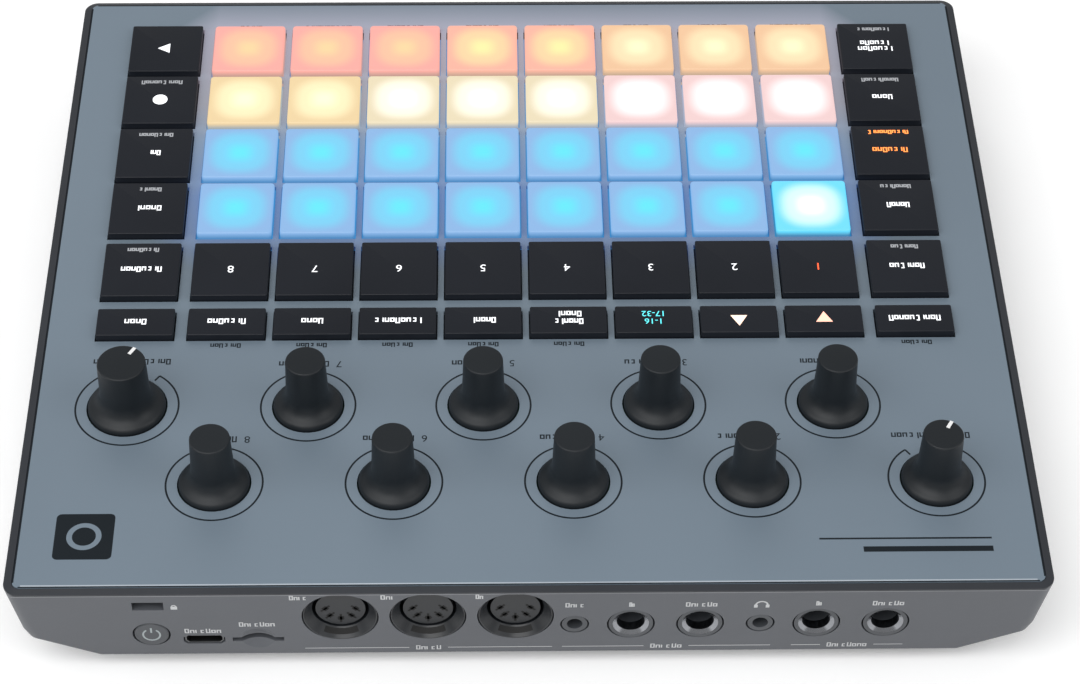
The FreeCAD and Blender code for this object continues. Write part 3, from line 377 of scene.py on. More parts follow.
def add_block(bm, low, high, corner=0.0, edge=0.0, finish=0):
    """A block in an empty bmesh, with rounded upright corners and a rounded top edge."""
    low = Vector(low)
    high = Vector(high)
    size = high - low
    made = bmesh.ops.create_cube(bm, size=1.0)["verts"]
    bmesh.ops.scale(bm, vec=size, verts=made)
    bmesh.ops.translate(bm, vec=(low + high) / 2, verts=made)
    if corner:
        uprights = [e for e in bm.edges if abs(e.verts[0].co.z - e.verts[1].co.z) > size.z / 2]
        bevel(bm, uprights, corner, 4)
    if edge:
        tops = [
            e
            for e in bm.edges
            if all(abs(v.co.z - high.z) < 1e-7 for v in e.verts)
            and any(abs(f.normal.z) < 0.5 for f in e.link_faces)
        ]
        bevel(bm, tops, edge, 3)
    for face in bm.faces:
        face.material_index = finish


def add_turned(bm, profile, centre, steps=64):
    """A profile of (radius, height) points spun a full turn about the upright through centre."""
    verts = [bm.verts.new((radius, 0.0, height)) for radius, height in profile]
    edges = [bm.edges.new(pair) for pair in zip(verts, verts[1:])]
    bmesh.ops.spin(
        bm,
        geom=verts + edges,
        cent=(0, 0, 0),
        axis=(0, 0, 1),
        dvec=(0, 0, 0),
        angle=math.tau,
        steps=steps,
        use_merge=True,
    )
    bmesh.ops.remove_doubles(bm, verts=bm.verts[:], dist=1e-7)
    bmesh.ops.recalc_face_normals(bm, faces=bm.faces[:])
    bmesh.ops.translate(bm, vec=centre, verts=bm.verts[:])


def add_arc(bm, centre, inner, outer, start, end, height, steps=72):
    """A flat band of a circle, from one angle to another, counted in degrees from +X."""
    a = math.radians(start)
    spots = [
        Vector((centre[0] + r * math.cos(a), centre[1] + r * math.sin(a), height))
        for r in (inner, outer)
    ]
    verts = [bm.verts.new(spot) for spot in spots]
    edge = bm.edges.new(verts)
    bmesh.ops.spin(
        bm,
        geom=verts + [edge],
        cent=(centre[0], centre[1], height),
        axis=(0, 0, 1),
        dvec=(0, 0, 0),
        angle=math.radians(end - start),
        steps=steps,
        use_merge=abs(end - start) > 359.9,
    )


def add_quad(bm, place, width, long):
    """A flat rectangle about a place, along its X and Y."""
    place = place @ Matrix.Diagonal((width, long, 1, 1))
    bmesh.ops.create_grid(bm, x_segments=1, y_segments=1, size=0.5, matrix=place)


def add_bar(bm, centre, width, long, turn=0.0):
    """A flat bar that faces up, turned about its middle by an angle in degrees."""
    add_quad(bm, Matrix.Translation(centre) @ Matrix.Rotation(math.radians(turn), 4, "Z"), width, long)


# Strokes of the small shapes that stand for letters: left, right, top, foot.
SHAPES = (
    (1, 1, 1, 1),
    (1, 1, 1, 0),
    (1, 0, 0, 0),
    (1, 0, 1, 1),
    (1, 1, 0, 1),
    (1, 1, 1, 1),
    (1, 1, 1, 0),
)
# A shape's pitch and the height of its low kind, as shares of the height of a tall one.
LETTER_PITCH = 0.7
LOW_HEIGHT = 0.74
TALL_ONES = (0, 4, 9)


def add_word(bm, place, across, tall=1.9, stroke=0.34, first=0):
    """Small open shapes in a row in place of a word's letters; sizes in mm."""
    count = max(2, round(across / (LETTER_PITCH * tall)))
    step = across / count
    for index in range(count):
        high = tall if index in TALL_ONES else LOW_HEIGHT * tall
        left, right, top, foot = SHAPES[(index + first) % len(SHAPES)]
        x0 = (index + 0.18) * step - across / 2
        x1 = x0 + 0.6 * step
        wide = x1 - x0 - stroke
        strokes = []
        if left:
            strokes.append((x0, high / 2, stroke, high))
        if right:
            strokes.append((x1, high / 2, stroke, high))
        if top:
            strokes.append(((x0 + x1) / 2, high - stroke / 2, wide, stroke))
        if foot:
            strokes.append(((x0 + x1) / 2, stroke / 2, wide, stroke))
        for x, y, width, height in strokes:
            spot = place @ Matrix.Translation((x * MM, (y - tall / 2) * MM, 0))
            add_quad(bm, spot, width * MM, height * MM)


def add_number(bm, numeral, size, place):
    """A numeral's faces, turned and moved by a matrix."""
    curve = bpy.data.curves.new("numeral", "FONT")
    curve.body = numeral
    curve.size = size
    curve.align_x = "CENTER"
    curve.align_y = "CENTER"
    holder = bpy.data.objects.new("numeral", curve)
    bpy.context.collection.objects.link(holder)
    shown = holder.evaluated_get(bpy.context.evaluated_depsgraph_get())
    mesh = bpy.data.meshes.new_from_object(shown)
    mesh.transform(place)
    bm.from_mesh(mesh)
    bpy.data.objects.remove(holder)
    bpy.data.curves.remove(curve)
    bpy.data.meshes.remove(mesh)


def add_disc(bm, centre, radius, corners=40, turn=0.0):
    place = Matrix.Translation(centre) @ Matrix.Rotation(math.radians(turn), 4, "Z")
    bmesh.ops.create_circle(bm, cap_ends=True, radius=radius, segments=corners, matrix=place)


def face_up(bm):
    for face in bm.faces:
        face.normal_update()
        if face.normal.z < 0:
            face.normal_flip()


class DRUM_OT_case(bpy.types.Operator):
    """Give the lower case, the rim and the hidden inner pieces their finishes"""

    bl_idname = "drum.case"
    bl_label = "Case and inner pieces"

    def execute(self, context):
        base = colours()
        finishes = {
            "bottom_case": moulded("case_plastic", base.case, 0.5, 900.0, 0.2, 0.06),
            "top_frame": moulded("rim_plastic", base.rim, 0.35, 1400.0, 0.08, 0.1),
            "rubber_feet": moulded("foot_rubber", (0.02, 0.02, 0.02), 0.85, 900.0, 0.3),
            "case_screws": moulded("screw_steel", (0.35, 0.35, 0.36), 0.35, 600.0, 0.1, 0.1, 1.0),
            "main_board": moulded("solder_mask", (0.01, 0.09, 0.035), 0.4, 500.0, 0.2, 0.3),
            "key_switches": moulded("switch_plastic", (0.02, 0.02, 0.02), 0.5),
            "encoder_bodies": moulded("control_steel", (0.55, 0.55, 0.55), 0.3, 700.0, 0.1, 0.1, 1.0),
            "pad_sensor_film": moulded("sensor_film", (0.5, 0.33, 0.1), 0.3, 300.0, 0.05, 0.2),
            "battery_pack": moulded("battery_wrap", (0.03, 0.05, 0.2), 0.35, 200.0, 0.1, 0.2),
            "ribbon_cable": moulded("ribbon_vinyl", (0.4, 0.4, 0.41), 0.5, 400.0, 0.1),
            "usb_socket": moulded("port_steel", (0.16, 0.165, 0.17), 0.35, 700.0, 0.1, 0.1, 1.0),
        }
        finishes["connector_board"] = finishes["main_board"]
        finishes["potentiometers"] = finishes["encoder_bodies"]
        finishes["power_switch"] = finishes["key_switches"]
        finishes["card_socket"] = finishes["key_switches"]
        for name, finish in finishes.items():
            dress(name, finish)
        return {"FINISHED"}


# Where the line round a limited knob begins and ends, in degrees from +X.
SWEEP = (-55, 235)
# Widths in mm of the words in front of the pads, column by column.
SIDE_WORDS = (12.0, 8.0, 7.0, 8.5, 9.0, 10.0, 13.0, 6.0)
GAP_WIDTH = 0.36 * MM


class DRUM_OT_plate(bpy.types.Operator):
    """Paint the face plate and print the rings, legends and badge on it"""

    bl_idname = "drum.plate"
    bl_label = "Face plate and print"

    def execute(self, context):
        size = sizes()
        paint = moulded("plate_paint", colours().plate, 0.42, 1600.0, 0.1, 0.035, 0.0, 12.0)
        dress("face_plate", glow_spill(paint))
        ink = dulled(moulded("dark_ink", colours().ink, 0.5, 1200.0, 0.03, 0.05), 0.25)
        height = PLATE_TOP + size.print_lift

        rings = bmesh.new()
        for name in ENCODERS + LIMITED_KNOBS:
            low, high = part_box(name)
            spot = middle(name)
            outer = (high[0] - low[0]) / 2 + size.ring_gap + size.ring_line
            inner = outer - size.ring_line
            if name in ENCODERS:
                add_arc(rings, spot, inner, outer, 0, 360, height, 96)
                continue
            add_arc(rings, spot, inner, outer, *SWEEP, height, 84)
            for angle in SWEEP:
                a = math.radians(angle)
                reach = inner - 0.7 * MM
                tick = (spot.x + reach * math.cos(a), spot.y + reach * math.sin(a), height)
                add_bar(rings, tick, size.ring_line, 1.9 * MM, angle + 90)
        print_piece("knob_rings", rings, ink, "body")

        legends = bmesh.new()
        for name in FUNCTION_KEYS[3:] + ["sample_record_button"]:
            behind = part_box(name)[1][1] + 1.45 * MM
            add_word(legends, Matrix.Translation((middle(name).x, behind, height)), 7.6, 1.5, 0.3)
        for name in ENCODERS + LIMITED_KNOBS:
            low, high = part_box(name)
            spot = middle(name)
            ahead = spot.y - (high[1] - low[1]) / 2 - 5.5 * MM
            place = Matrix.Translation((spot.x, ahead, height))
            if name not in ENCODERS:
                add_word(legends, place, 19.0)
                continue
            add_number(legends, name[-1], 3.0 * MM, place @ Matrix.Translation((-7.0 * MM, 0, 0)))
            add_word(legends, place @ Matrix.Translation((1.6 * MM, 0, 0)), 12.4, first=int(name[-1]))
        for x, across in zip(COLUMNS, SIDE_WORDS):
            add_word(legends, Matrix.Translation((x, ROWS[0] - 10.6 * MM, height)), across, 1.7)
        add_bar(legends, (-92.0 * MM, 93.4 * MM, height), 30 * MM, 1.6 * MM)
        add_bar(legends, (-87.0 * MM, 90.2 * MM, height), 40 * MM, 0.5 * MM)
        print_piece("plate_legends", legends, ink, "body")

        # a dark gap runs round the sheet, and a light bar along its rear edge is a painted highlight
        # where that edge catches the light
        low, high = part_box("face_plate")
        gap = bmesh.new()
        for y in (low[1] + GAP_WIDTH / 2, high[1] - GAP_WIDTH / 2):
            add_bar(gap, (0, y, height), high[0] - low[0] - 3 * MM, GAP_WIDTH)
        for x in (low[0] + GAP_WIDTH / 2, high[0] - GAP_WIDTH / 2):
            add_bar(gap, (x, 0, height), GAP_WIDTH, high[1] - low[1] - 3 * MM)
        print_piece("plate_gap", gap, ink, "body")
        # painted highlight: a light bar along the sheet's rear edge
        edge = bmesh.new()
        add_bar(edge, (0, high[1] - 1.5 * GAP_WIDTH, height), high[0] - low[0] - 4 * MM, GAP_WIDTH)
        edge_highlight = moulded("painted_edge_highlight", (0.4, 0.45, 0.5), 0.3, 900.0, 0.05, 0.1)
        print_piece("plate_edge", edge, edge_highlight, "body")

        badge = bmesh.new()
        add_block(
            badge,
            (96.0 * MM, 81.3 * MM, PLATE_TOP),
            (109.6 * MM, 95.0 * MM, PLATE_TOP + size.print_lift),
            1.2 * MM,
        )
        new_piece("plate_badge", badge, ink, "body", smooth=0)
        ring = bmesh.new()
        above = PLATE_TOP + 2 * size.print_lift
        add_arc(ring, (102.8 * MM, 88.15 * MM), 2.75 * MM, 4.05 * MM, 0, 360, above)
        print_piece("badge_ring", ring, paint, "body")
        return {"FINISHED"}


# Each glow has the colour of a pad's foot, of its top near the edge and of its heart.
PAD_GLOWS = {
    "rose": ((0.5, 0.26, 0.2), (0.88, 0.33, 0.27), (0.9, 0.6, 0.26)),
    "coral": ((0.52, 0.3, 0.2), (0.88, 0.38, 0.26), (0.95, 0.82, 0.3)),
    "amber": ((0.52, 0.34, 0.2), (0.82, 0.48, 0.24), (1.0, 0.92, 0.52)),
    "gold": ((0.34, 0.36, 0.34), (0.8, 0.58, 0.27), (1.1, 1.05, 0.62)),
    "cream": ((0.34, 0.38, 0.42), (0.76, 0.64, 0.4), (1.25, 1.25, 1.1)),
    "blush": ((0.34, 0.36, 0.44), (0.82, 0.55, 0.54), (1.25, 1.25, 1.25)),
    "sky": ((0.03, 0.2, 0.46), (0.17, 0.38, 0.7), (0.03, 0.72, 0.95)),
    "white": ((0.015, 0.2, 0.4), (0.07, 0.66, 0.95), (1.2, 1.3, 1.3)),
}
PAD_ROWS = [
    ["amber", "amber", "amber", "coral", "coral", "rose", "rose", "rose"],
    ["blush", "blush", "blush", "cream", "cream", "cream", "gold", "gold"],
    ["sky"] * 8,
    ["white"] + ["sky"] * 7,
]


class DRUM_OT_pads(bpy.types.Operator):
    """Model the lit silicone pads on their mat"""

    bl_idname = "drum.pads"
    bl_label = "Lit pads"

    def execute(self, context):
        size = sizes()
        names = list(PAD_GLOWS)
        finishes = [lit_silicone("pad_" + n, *PAD_GLOWS[n]) for n in names]
        bm = bmesh.new()
        low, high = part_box("pad_mat")
        key_low, key_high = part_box("track_button_1")
        half_w = (key_high[0] - key_low[0]) / 2 - LIP
        half_l = (key_high[1] - key_low[1]) / 2 - LIP
        sheet_top = low[2] + 1.2 * MM
        for row, y in enumerate(ROWS):
            for column, x in enumerate(COLUMNS):
                one = bmesh.new()
                add_block(
                    one,
                    (x - half_w, y - half_l, sheet_top),
                    (x + half_w, y + half_l, high[2]),
                    size.pad_corner,
                    size.pad_edge,
                    finish=names.index(PAD_ROWS[row][column]),
                )
                join(bm, one)
        sheet = bmesh.new()
        add_block(sheet, low, (high[0], high[1], sheet_top), finish=names.index("sky"))
        join(bm, sheet)
        new_piece("lit_pads", bm, finishes, "body", ("pad_mat",))
        return {"FINISHED"}


# Each has its key, radius in mm, number of corners, turn in degrees and colour.
DISC_MARKS = (
    ("play_button", 2.2, 3, -90, "white"),
    ("record_button", 1.95, 40, 0, "white"),
    ("up_button", 2.4, 3, 0, "peach"),
    ("down_button", 2.4, 3, 180, "salmon"),
)
# Each has its key, and its lines' widths and distances from the key's middle in mm.
WORD_MARKS = (
    ("effects_button", [(3.4, 0.0)]),
    ("mixer_button", [(7.0, 0.0)]),
    ("pattern_settings_button", [(9.6, 1.2), (8.0, -1.2)]),
    ("gate_button", [(5.6, 0.0)]),
    ("velocity_button", [(9.4, 0.0)]),
    ("note_button", [(6.0, 0.0)]),
    ("patterns_button", [(10.4, 0.0)]),
    ("sample_button", [(9.0, 0.0)]),
    ("shift_button", [(5.6, 0.0)]),
    ("sample_record_button", [(13.0, 0.0)]),
    ("projects_button", [(9.6, 0.0)]),
    ("save_button", [(5.6, 0.0)]),
    ("duplicate_button", [(12.0, 0.0)]),
    ("clear_button", [(6.4, 0.0)]),
    ("tempo_button", [(7.4, 0.6), (6.6, -2.0)]),
)
# Widths in mm of the dim lines at the keys' front edges.
SECOND_MARKS = (
    ("record_button", 11.0),
    ("effects_button", 9.0),
    ("mixer_button", 6.0),
    ("patterns_button", 8.0),
    ("pattern_settings_button", 9.0),
    ("gate_button", 10.0),
    ("velocity_button", 11.0),
    ("note_button", 8.0),
    ("sample_button", 7.0),
)


class DRUM_OT_keys(bpy.types.Operator):
    """Model the dark keys with their rounded edges and their lit legends"""

    bl_idname = "drum.keys"
    bl_label = "Keys"

    def execute(self, context):
        size = sizes()
        cap = dulled(moulded("key_plastic", colours().key, 0.4, 1500.0, 0.1, 0.1), 0.28)
        self.marks = {
            "white": glowing("legend_white", (0.85, 0.87, 0.9), 0.7),
            "orange": glowing("legend_orange", (1.0, 0.25, 0.05), 1.2),
            "teal": glowing("legend_teal", (0.1, 0.7, 0.75), 0.9),
            "red": glowing("legend_red", (1.0, 0.1, 0.03), 1.2),
            "peach": glowing("legend_peach", (1.0, 0.68, 0.52), 0.9),
            "salmon": glowing("legend_salmon", (1.0, 0.48, 0.36), 0.85),
            "grey": glowing("legend_grey", (0.3, 0.31, 0.33), 0.3),
        }
        for name in KEYS:
            low, high = [Vector(corner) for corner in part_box(name)]
            nub_top = low.z + 0.5 * MM
            flange_top = low.z + 1.5 * MM
            bm = bmesh.new()
            add_block(
                bm,
                (low.x + LIP, low.y + LIP, flange_top),
                (high.x - LIP, high.y - LIP, high.z),
                size.key_corner,
                size.key_edge,
            )
            flange = bmesh.new()
            add_block(flange, (low.x, low.y, nub_top), (high.x, high.y, flange_top))
            join(bm, flange)
            nub = bmesh.new()
            spot = middle(name)
            half = 2 * MM
            add_block(nub, (spot.x - half, spot.y - half, low.z), (spot.x + half, spot.y + half, nub_top))
            join(bm, nub)
            new_piece(name + "_cap", bm, cap, name, (name,))
        self.print_marks()
        return {"FINISHED"}

    def words(self, name, colour, rows, kind="_mark", tall=1.9):
        """Generic shapes in place of a legend's words; rows holds (width, distance ahead) in mm."""
        bm = bmesh.new()
        for width, ahead in rows:
            add_word(bm, self.on_top(name, ahead), width, tall, first=len(name))
        print_piece(name + kind, bm, self.marks[colour], name)

    def on_top(self, name, ahead=0.0):
        """A place on a key's top, a distance in mm away from the player."""
        spot = middle(name)
        return Matrix.Translation((spot.x, spot.y + ahead * MM, KEY_TOP + sizes().print_lift))

    def print_marks(self):
        for name in TRACK_KEYS:
            bm = bmesh.new()
            add_number(bm, name[-1], 3.4 * MM, self.on_top(name))
            print_piece(name + "_mark", bm, self.marks["red" if name[-1] == "1" else "white"], name)
        for name, radius, corners, turn, colour in DISC_MARKS:
            bm = bmesh.new()
            add_disc(bm, self.on_top(name).translation, radius * MM, corners, turn)
            print_piece(name + "_mark", bm, self.marks[colour], name)
        for name, rows in WORD_MARKS:
            self.words(name, "orange" if name == "velocity_button" else "white", rows)
        for name, width in SECOND_MARKS:
            colour = "orange" if name == "velocity_button" else "grey"
            self.words(name, colour, [(width, -6.9)], "_second_mark", 1.5)
        name = "page_button"
        bm = bmesh.new()
        for numerals, ahead in (("1-16", 0.6), ("17-32", -2.0)):
            add_number(bm, numerals, 2.6 * MM, self.on_top(name, ahead))
        print_piece(name + "_mark", bm, self.marks["teal"], name)


# Where the pointers stand at rest, in degrees from +X.
POINTER_TURN = 240


class DRUM_OT_knobs(bpy.types.Operator):
    """Turn the flared knobs and inlay the pointers of the two limited ones"""

    bl_idname = "drum.knobs"
    bl_label = "Knobs"

    def execute(self, context):
        plastic = dulled(moulded("knob_plastic", colours().knob, 0.46, 1500.0, 0.12, 0.1), 0.35)
        white = moulded("pointer_white", (0.8, 0.8, 0.8), 0.5, 900.0, 0.05, 0.03)
        for name in ENCODERS + LIMITED_KNOBS[::-1]:
            big = name == "master_filter_knob"
            low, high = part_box(name)
            spot = middle(name)
            centre = Vector((spot.x, spot.y, 0))
            cap = (5.8 if big else 4.75) * MM
            neck = (6.0 if big else 5.1) * MM
            skirt = (high[0] - low[0]) / 2
            bm = bmesh.new()
            add_turned(bm, self.profile(cap, neck, skirt, low[2], high[2]), centre)
            new_piece(name + "_turned", bm, plastic, name, (name,))
            if name in ENCODERS:
                continue
            bm = bmesh.new()
            angle = math.radians(POINTER_TURN)
            way = Vector((math.cos(angle), math.sin(angle), 0))
            above = centre + way * (cap - 1.3 * MM) + Vector((0, 0, high[2] + 0.01 * MM))
            add_bar(bm, above, 2.4 * MM, 0.85 * MM, POINTER_TURN)
            print_piece(name + "_pointer", bm, white, name)
        return {"FINISHED"}

    def profile(self, cap, neck, skirt, low, high):
        """The knob's outline from the middle of its top, down the outside and up its hollow."""
        foot = PLATE_TOP - 0.6 * MM
        flare_foot = foot + 2.3 * MM
        flare_top = flare_foot + 4.1 * MM
        stem = 3.0 * MM
        well = 5.4 * MM
        well_top = foot + 2.4 * MM
        points = [(0.0, high)]
        points += rounded((cap, high), 0.4 * MM, 90, 0)
        shoulder = rounded((skirt, flare_foot), 1.6 * MM, 68, 0)
        points += hollow(Vector((neck, flare_top)), Vector(shoulder[0]), 4.6 * MM, 10)
        points += shoulder[1:]
        points += rounded((skirt, foot), 0.25 * MM, 0, -90, below=True)
        points += [(well, foot), (well, well_top), (stem, well_top), (stem, low), (0.0, low)]
        return points


def rounded(corner, radius, start, end, below=False, steps=4):
    """Points of a rounded outer corner, from one angle to another in degrees."""
    centre = Vector((corner[0] - radius, corner[1] + (radius if below else -radius)))
    made = []
    for step in range(steps + 1):
        a = math.radians(start + (end - start) * step / steps)
        made.append((centre.x + radius * math.cos(a), centre.y + radius * math.sin(a)))
    return made


def hollow(start, end, radius, steps):
    """Points of an arc whose centre lies outside the knob, from its neck to its skirt."""
    run = end - start
    rise = math.sqrt(radius**2 - (run.length / 2) ** 2)
    centre = (start + end) / 2 + Vector((-run.y, run.x)).normalized() * rise
    first = math.atan2(*(start - centre).yx) % math.tau
    last = math.atan2(*(end - centre).yx) % math.tau
    made = []
    for step in range(steps + 1):
        a = first + (last - first) * step / steps
        made.append((centre.x + radius * math.cos(a), centre.y + radius * math.sin(a)))
    return made


# Height and depth in mm of the rear wall's bends, from its top down.
WALL = [(28.2, 105.0), (13.7, 103.997), (11.3, 103.844), (4.7, 103.3)]
# A place on an upright face at the rear: X to the viewer's right, Y up, Z outward.
UPRIGHT = Matrix(((-1, 0, 0), (0, 0, 1), (0, 1, 0))).transposed().to_4x4()
# The round sockets in mm: their places along X, their height, the depth of their discs' faces just
# above the plastic, the radius of the circle of contacts, and how each slit is turned in degrees.
ROUND_SOCKETS = (43.65, 23.5, 3.35)
ROUND_HEIGHT = 19.2
DISC_FACE = 101.83
CONTACT_CIRCLE = 3.5
SLIT_TURNS = (225, 225, 270, 315, 315)
GROUP_HEIGHT = 6.7
# Each has the ends of a group's line along X and the gap for its word, in mm.
WALL_GROUPS = ((52.3, -5.2, 9.0), (-7.5, -56.1, 10.5), (-61.0, -87.1, 12.5))
# Each has a word's place along X, its height and its width, in mm.
WALL_WORDS = (
    (52.9, 27.0, 4.2),
    (32.4, 27.0, 3.6),
    (11.6, 27.0, 1.8),
    (-10.3, 23.4, 4.6),
    (-23.3, 23.5, 1.2),
    (-39.3, 23.4, 7.4),
    (-66.2, 23.5, 1.2),
    (-82.2, 23.4, 7.4),
    (62.9, 16.6, 8.4),
    (75.5, 14.1, 8.6),
)


def on_wall(x, z, lift=0.02):
    """A place on the leaning rear wall, in mm: X to the viewer's right, Y up it, Z outward."""
    for (high, out), (low, inner) in zip(WALL, WALL[1:]):
        if z >= low:
            break
    slope = (out - inner) / (high - low)
    y = out - (high - z) * slope + lift
    up = Vector((0, slope, 1)).normalized()
    side = Vector((-1, 0, 0))
    turn = Matrix((side, up, side.cross(up))).transposed().to_4x4()
    return Matrix.Translation(Vector((x, y, z)) * MM) @ turn


def wall_bar(bm, x, z, width, height):
    """A bar on the rear wall; sizes in mm."""
    add_quad(bm, on_wall(x, z), width * MM, height * MM)


def wall_arc(bm, place, radius, line, start, end, steps=24):
    """A thin arc drawn round a place on the wall; sizes in mm, angles in degrees."""
    part = bmesh.new()
    add_arc(part, (0, 0), (radius - line / 2) * MM, (radius + line / 2) * MM, start, end, 0.0, steps)
    face_up(part)
    bmesh.ops.transform(part, matrix=place, verts=part.verts)
    join(bm, part)


class DRUM_OT_sockets(bpy.types.Operator):
    """Finish the sockets, the power button and the marks in the rear wall"""

    bl_idname = "drum.sockets"
    bl_label = "Sockets and rear marks"

    def execute(self, context):
        black = moulded("socket_plastic", (0.012, 0.014, 0.017), 0.35, 1200.0, 0.08)
        nose = moulded("nose_plastic", (0.055, 0.06, 0.068), 0.4, 1200.0, 0.08)
        bright = moulded("collar_steel", (0.3, 0.31, 0.33), 0.22, 300.0, 0.04, 0.1, 1.0)
        for name, finish in (
            ("din_sockets", black),
            ("jack_sockets_large", nose),
            ("jack_sockets_small", nose),
            ("jack_collars", bright),
            ("power_button", nose),
        ):
            dress(name, finish)
        self.contacts()
        self.wall_print()
        self.power_mark()
        return {"FINISHED"}

    def contacts(self):
        """Painted shade: black slits over the contact holes of each round socket, and a black band for
        the opening below its disc.
        """
        dark = moulded("painted_hole_shade", (0.002, 0.002, 0.002), 0.7, 1200.0, 0.05)
        bm = bmesh.new()
        for x in ROUND_SOCKETS:
            centre = Matrix.Translation(Vector((x, DISC_FACE, ROUND_HEIGHT)) * MM) @ UPRIGHT
            for step, way in enumerate(SLIT_TURNS):
                a = math.radians(180 + 45 * step)
                hole = Vector((math.cos(a), math.sin(a), 0)) * CONTACT_CIRCLE * MM
                place = centre @ Matrix.Translation(hole) @ Matrix.Rotation(math.radians(way), 4, "Z")
                for wide, long in ((0.55, 2.9), (1.35, 1.2)):
                    add_quad(bm, place, long * MM, wide * MM)
            # a black band on the funnel's own surface: painted shade for the opening below the disc
            start = math.radians(238)
            ends = []
            for out, reach in ((102.15, 6.78), (103.3, 7.68)):
                spot = (x + reach * math.cos(start), out, ROUND_HEIGHT + reach * math.sin(start))
                ends.append(bm.verts.new(Vector(spot) * MM))
            bmesh.ops.spin(
                bm,
                geom=ends + [bm.edges.new(ends)],
                cent=Vector((x, 102.0, ROUND_HEIGHT)) * MM,
                axis=(0, 1, 0),
                dvec=(0, 0, 0),
                angle=math.radians(-64),
                steps=12,
            )
        for face in bm.faces:
            face.normal_update()
            if face.normal.y < 0:
                face.normal_flip()
        new_piece("contact_slits", bm, dark, "body", smooth=0)

    def wall_print(self):
        white = moulded("wall_ink", (0.5, 0.51, 0.52), 0.5, 1200.0, 0.02, 0.05)
        bm = bmesh.new()
        for first, last, gap in WALL_GROUPS:
            centre = (first + last) / 2
            long = (first - last - gap) / 2
            for side in (1, -1):
                wall_bar(bm, centre + side * (gap + long) / 2, GROUP_HEIGHT, long, 0.22)
            add_word(bm, on_wall(centre, GROUP_HEIGHT), gap - 3.0, 1.7, 0.3)
        for x, z, width in WALL_WORDS:
            add_word(bm, on_wall(x, z), width, 1.7, 0.3)
        # headphones: a bow and two cups
        wall_arc(bm, on_wall(-53.1, 23.0), 1.35, 0.42, 0, 180)
        for side in (-1, 1):
            wall_bar(bm, -53.1 + side * 1.35, 22.55, 0.85, 1.15)
        # padlock: a body and its bow
        wall_bar(bm, 81.4, 23.35, 1.5, 1.15)
        wall_arc(bm, on_wall(81.4, 23.95), 0.45, 0.3, 0, 180, 12)
        new_piece("wall_print", bm, white, "body", smooth=0)
        # a painted highlight: a light bar along the rim's lower edge on the rear wall, where that edge
        # catches the light
        joint = bmesh.new()
        wall_bar(joint, 0, 28.02, 236, 0.22)
        lit = moulded("wall_joint_highlight", (0.22, 0.225, 0.24), 0.4, 900.0, 0.05, 0.1)
        new_piece("wall_joint_highlight", joint, lit, "body", smooth=0)

    def power_mark(self):
        grey = moulded("power_mark_grey", (0.32, 0.36, 0.37), 0.5, 1200.0, 0.02, 0.05)
        spot = middle("power_button")
        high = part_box("power_button")[1]
        place = Matrix.Translation((spot.x, high[1] + 0.02 * MM, spot.z)) @ UPRIGHT
        bm = bmesh.new()
        wall_arc(bm, place, 1.95, 0.42, 125, 415, 32)
        add_quad(bm, place @ Matrix.Translation((0, 1.6 * MM, 0)), 0.42 * MM, 1.7 * MM)
        new_piece("power_mark", bm, grey, "power_button", smooth=0)


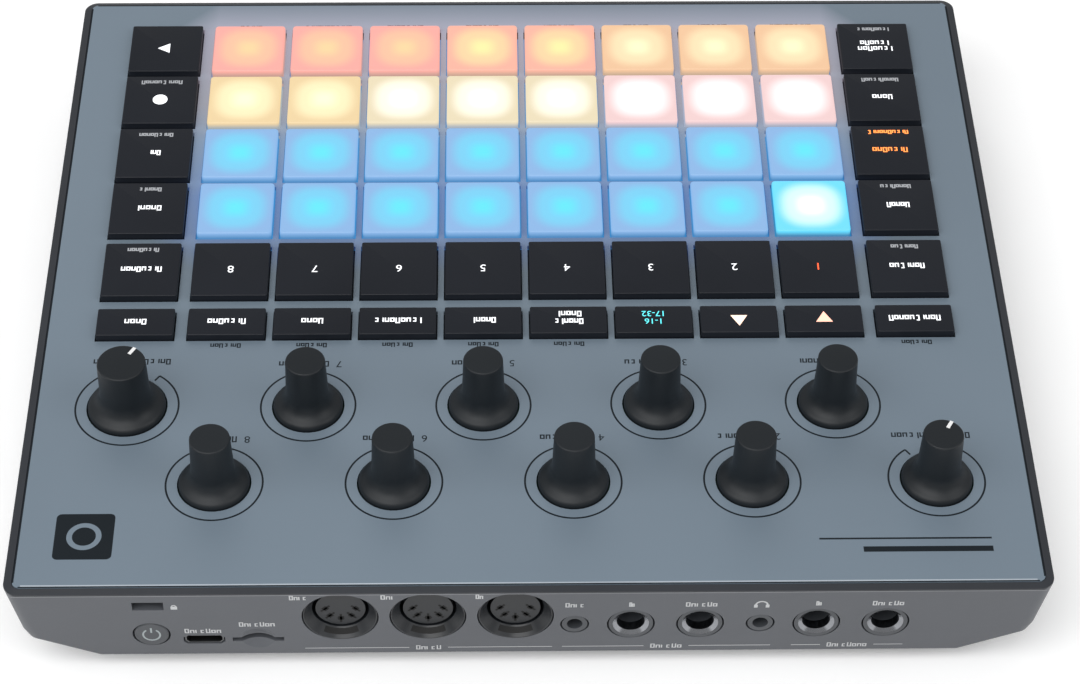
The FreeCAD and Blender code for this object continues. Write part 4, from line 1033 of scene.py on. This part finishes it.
class DRUM_OT_stage(bpy.types.Operator):
    """Set the camera, the lights and the pale floor"""

    bl_idname = "drum.stage"
    bl_label = "Stage"

    def execute(self, context):
        scene = context.scene
        camera = bpy.data.objects.new("camera", bpy.data.cameras.new("camera"))
        scene.collection.objects.link(camera)
        scene.camera = camera
        camera.data.sensor_fit = "HORIZONTAL"
        camera.data.sensor_width = 36.0
        camera.data.lens = 97.414
        camera.data.clip_start = 0.05
        camera.data.clip_end = 20.0
        look = Vector((-0.01737868, -0.6935565, -0.72019259))
        up = Vector((-0.00529043, -0.7202275, 0.69371778))
        side = look.cross(up)
        turn = Matrix((side, up, -look)).transposed().to_4x4()
        camera.matrix_world = Matrix.Translation(Vector((9.074, 525.066, 546.836)) * MM) @ turn

        floor = bmesh.new()
        bmesh.ops.create_grid(floor, x_segments=1, y_segments=1, size=4.0)
        mesh = bpy.data.meshes.new("floor")
        floor.to_mesh(mesh)
        floor.free()
        paper = moulded("floor_paper", (0.9, 0.9, 0.9), 0.8, 60.0, 0.02, 0.01)
        glow = paper.node_tree.nodes["Principled BSDF"].inputs
        glow["Emission Color"].default_value = (1.0, 1.0, 1.0, 1.0)
        glow["Emission Strength"].default_value = 0.14
        mesh.materials.append(paper)
        ground = bpy.data.objects.new("floor", mesh)
        scene.collection.objects.link(ground)

        world = bpy.data.worlds.new("studio")
        world.use_nodes = True
        sky = world.node_tree.nodes["Background"].inputs
        sky["Color"].default_value = (1.0, 1.0, 1.0, 1.0)
        sky["Strength"].default_value = 0.42
        scene.world = world
        scene.view_settings.view_transform = "Standard"
        for name, spot, reach, power, shines in (
            ("top_light", (0.3, 0.8, 1.3), 1.2, 13.0, True),
            ("left_light", (-1.0, 0.45, 0.9), 0.9, 4.0, True),
            ("right_light", (1.0, 0.4, 0.9), 0.9, 4.0, True),
            ("front_light", (0.1, -1.1, 0.9), 0.9, 4.0, False),
        ):
            lamp = bpy.data.lights.new(name, "AREA")
            lamp.shape = "SQUARE"
            lamp.size = reach
            lamp.energy = power
            holder = bpy.data.objects.new(name, lamp)
            holder.location = spot
            holder.rotation_euler = (-Vector(spot)).to_track_quat("-Z", "Y").to_euler()
            holder.visible_glossy = shines
            scene.collection.objects.link(holder)
        return {"FINISHED"}


class DRUM_PT_panel(bpy.types.Panel):
    """Lists the drum machine's steps and its sizes"""

    bl_idname = "DRUM_PT_panel"
    bl_label = "Drum machine"
    bl_space_type = "VIEW_3D"
    bl_region_type = "UI"
    bl_category = "Drum machine"

    def draw(self, context):
        for operator in OPERATORS:
            self.layout.operator(operator.bl_idname)
        for group in (context.scene.drum_machine_sizes, context.scene.drum_machine_colours):
            for name in group.__annotations__:
                self.layout.prop(group, name)


OPERATORS = (
    DRUM_OT_stage,
    DRUM_OT_case,
    DRUM_OT_plate,
    DRUM_OT_pads,
    DRUM_OT_keys,
    DRUM_OT_knobs,
    DRUM_OT_sockets,
)
CLASSES = (DrumMachineSizes, DrumMachineColours, *OPERATORS, DRUM_PT_panel)


def register():
    for item in CLASSES:
        bpy.utils.register_class(item)
    bpy.types.Scene.drum_machine_sizes = PointerProperty(type=DrumMachineSizes)
    bpy.types.Scene.drum_machine_colours = PointerProperty(type=DrumMachineColours)


def unregister():
    del bpy.types.Scene.drum_machine_colours
    del bpy.types.Scene.drum_machine_sizes
    for item in reversed(CLASSES):
        bpy.utils.unregister_class(item)


def main():
    register()
    bpy.ops.drum.stage()
    bpy.ops.drum.case()
    bpy.ops.drum.plate()
    bpy.ops.drum.pads()
    bpy.ops.drum.keys()
    bpy.ops.drum.knobs()
    bpy.ops.drum.sockets()


if __name__ == "__main__":
    main()
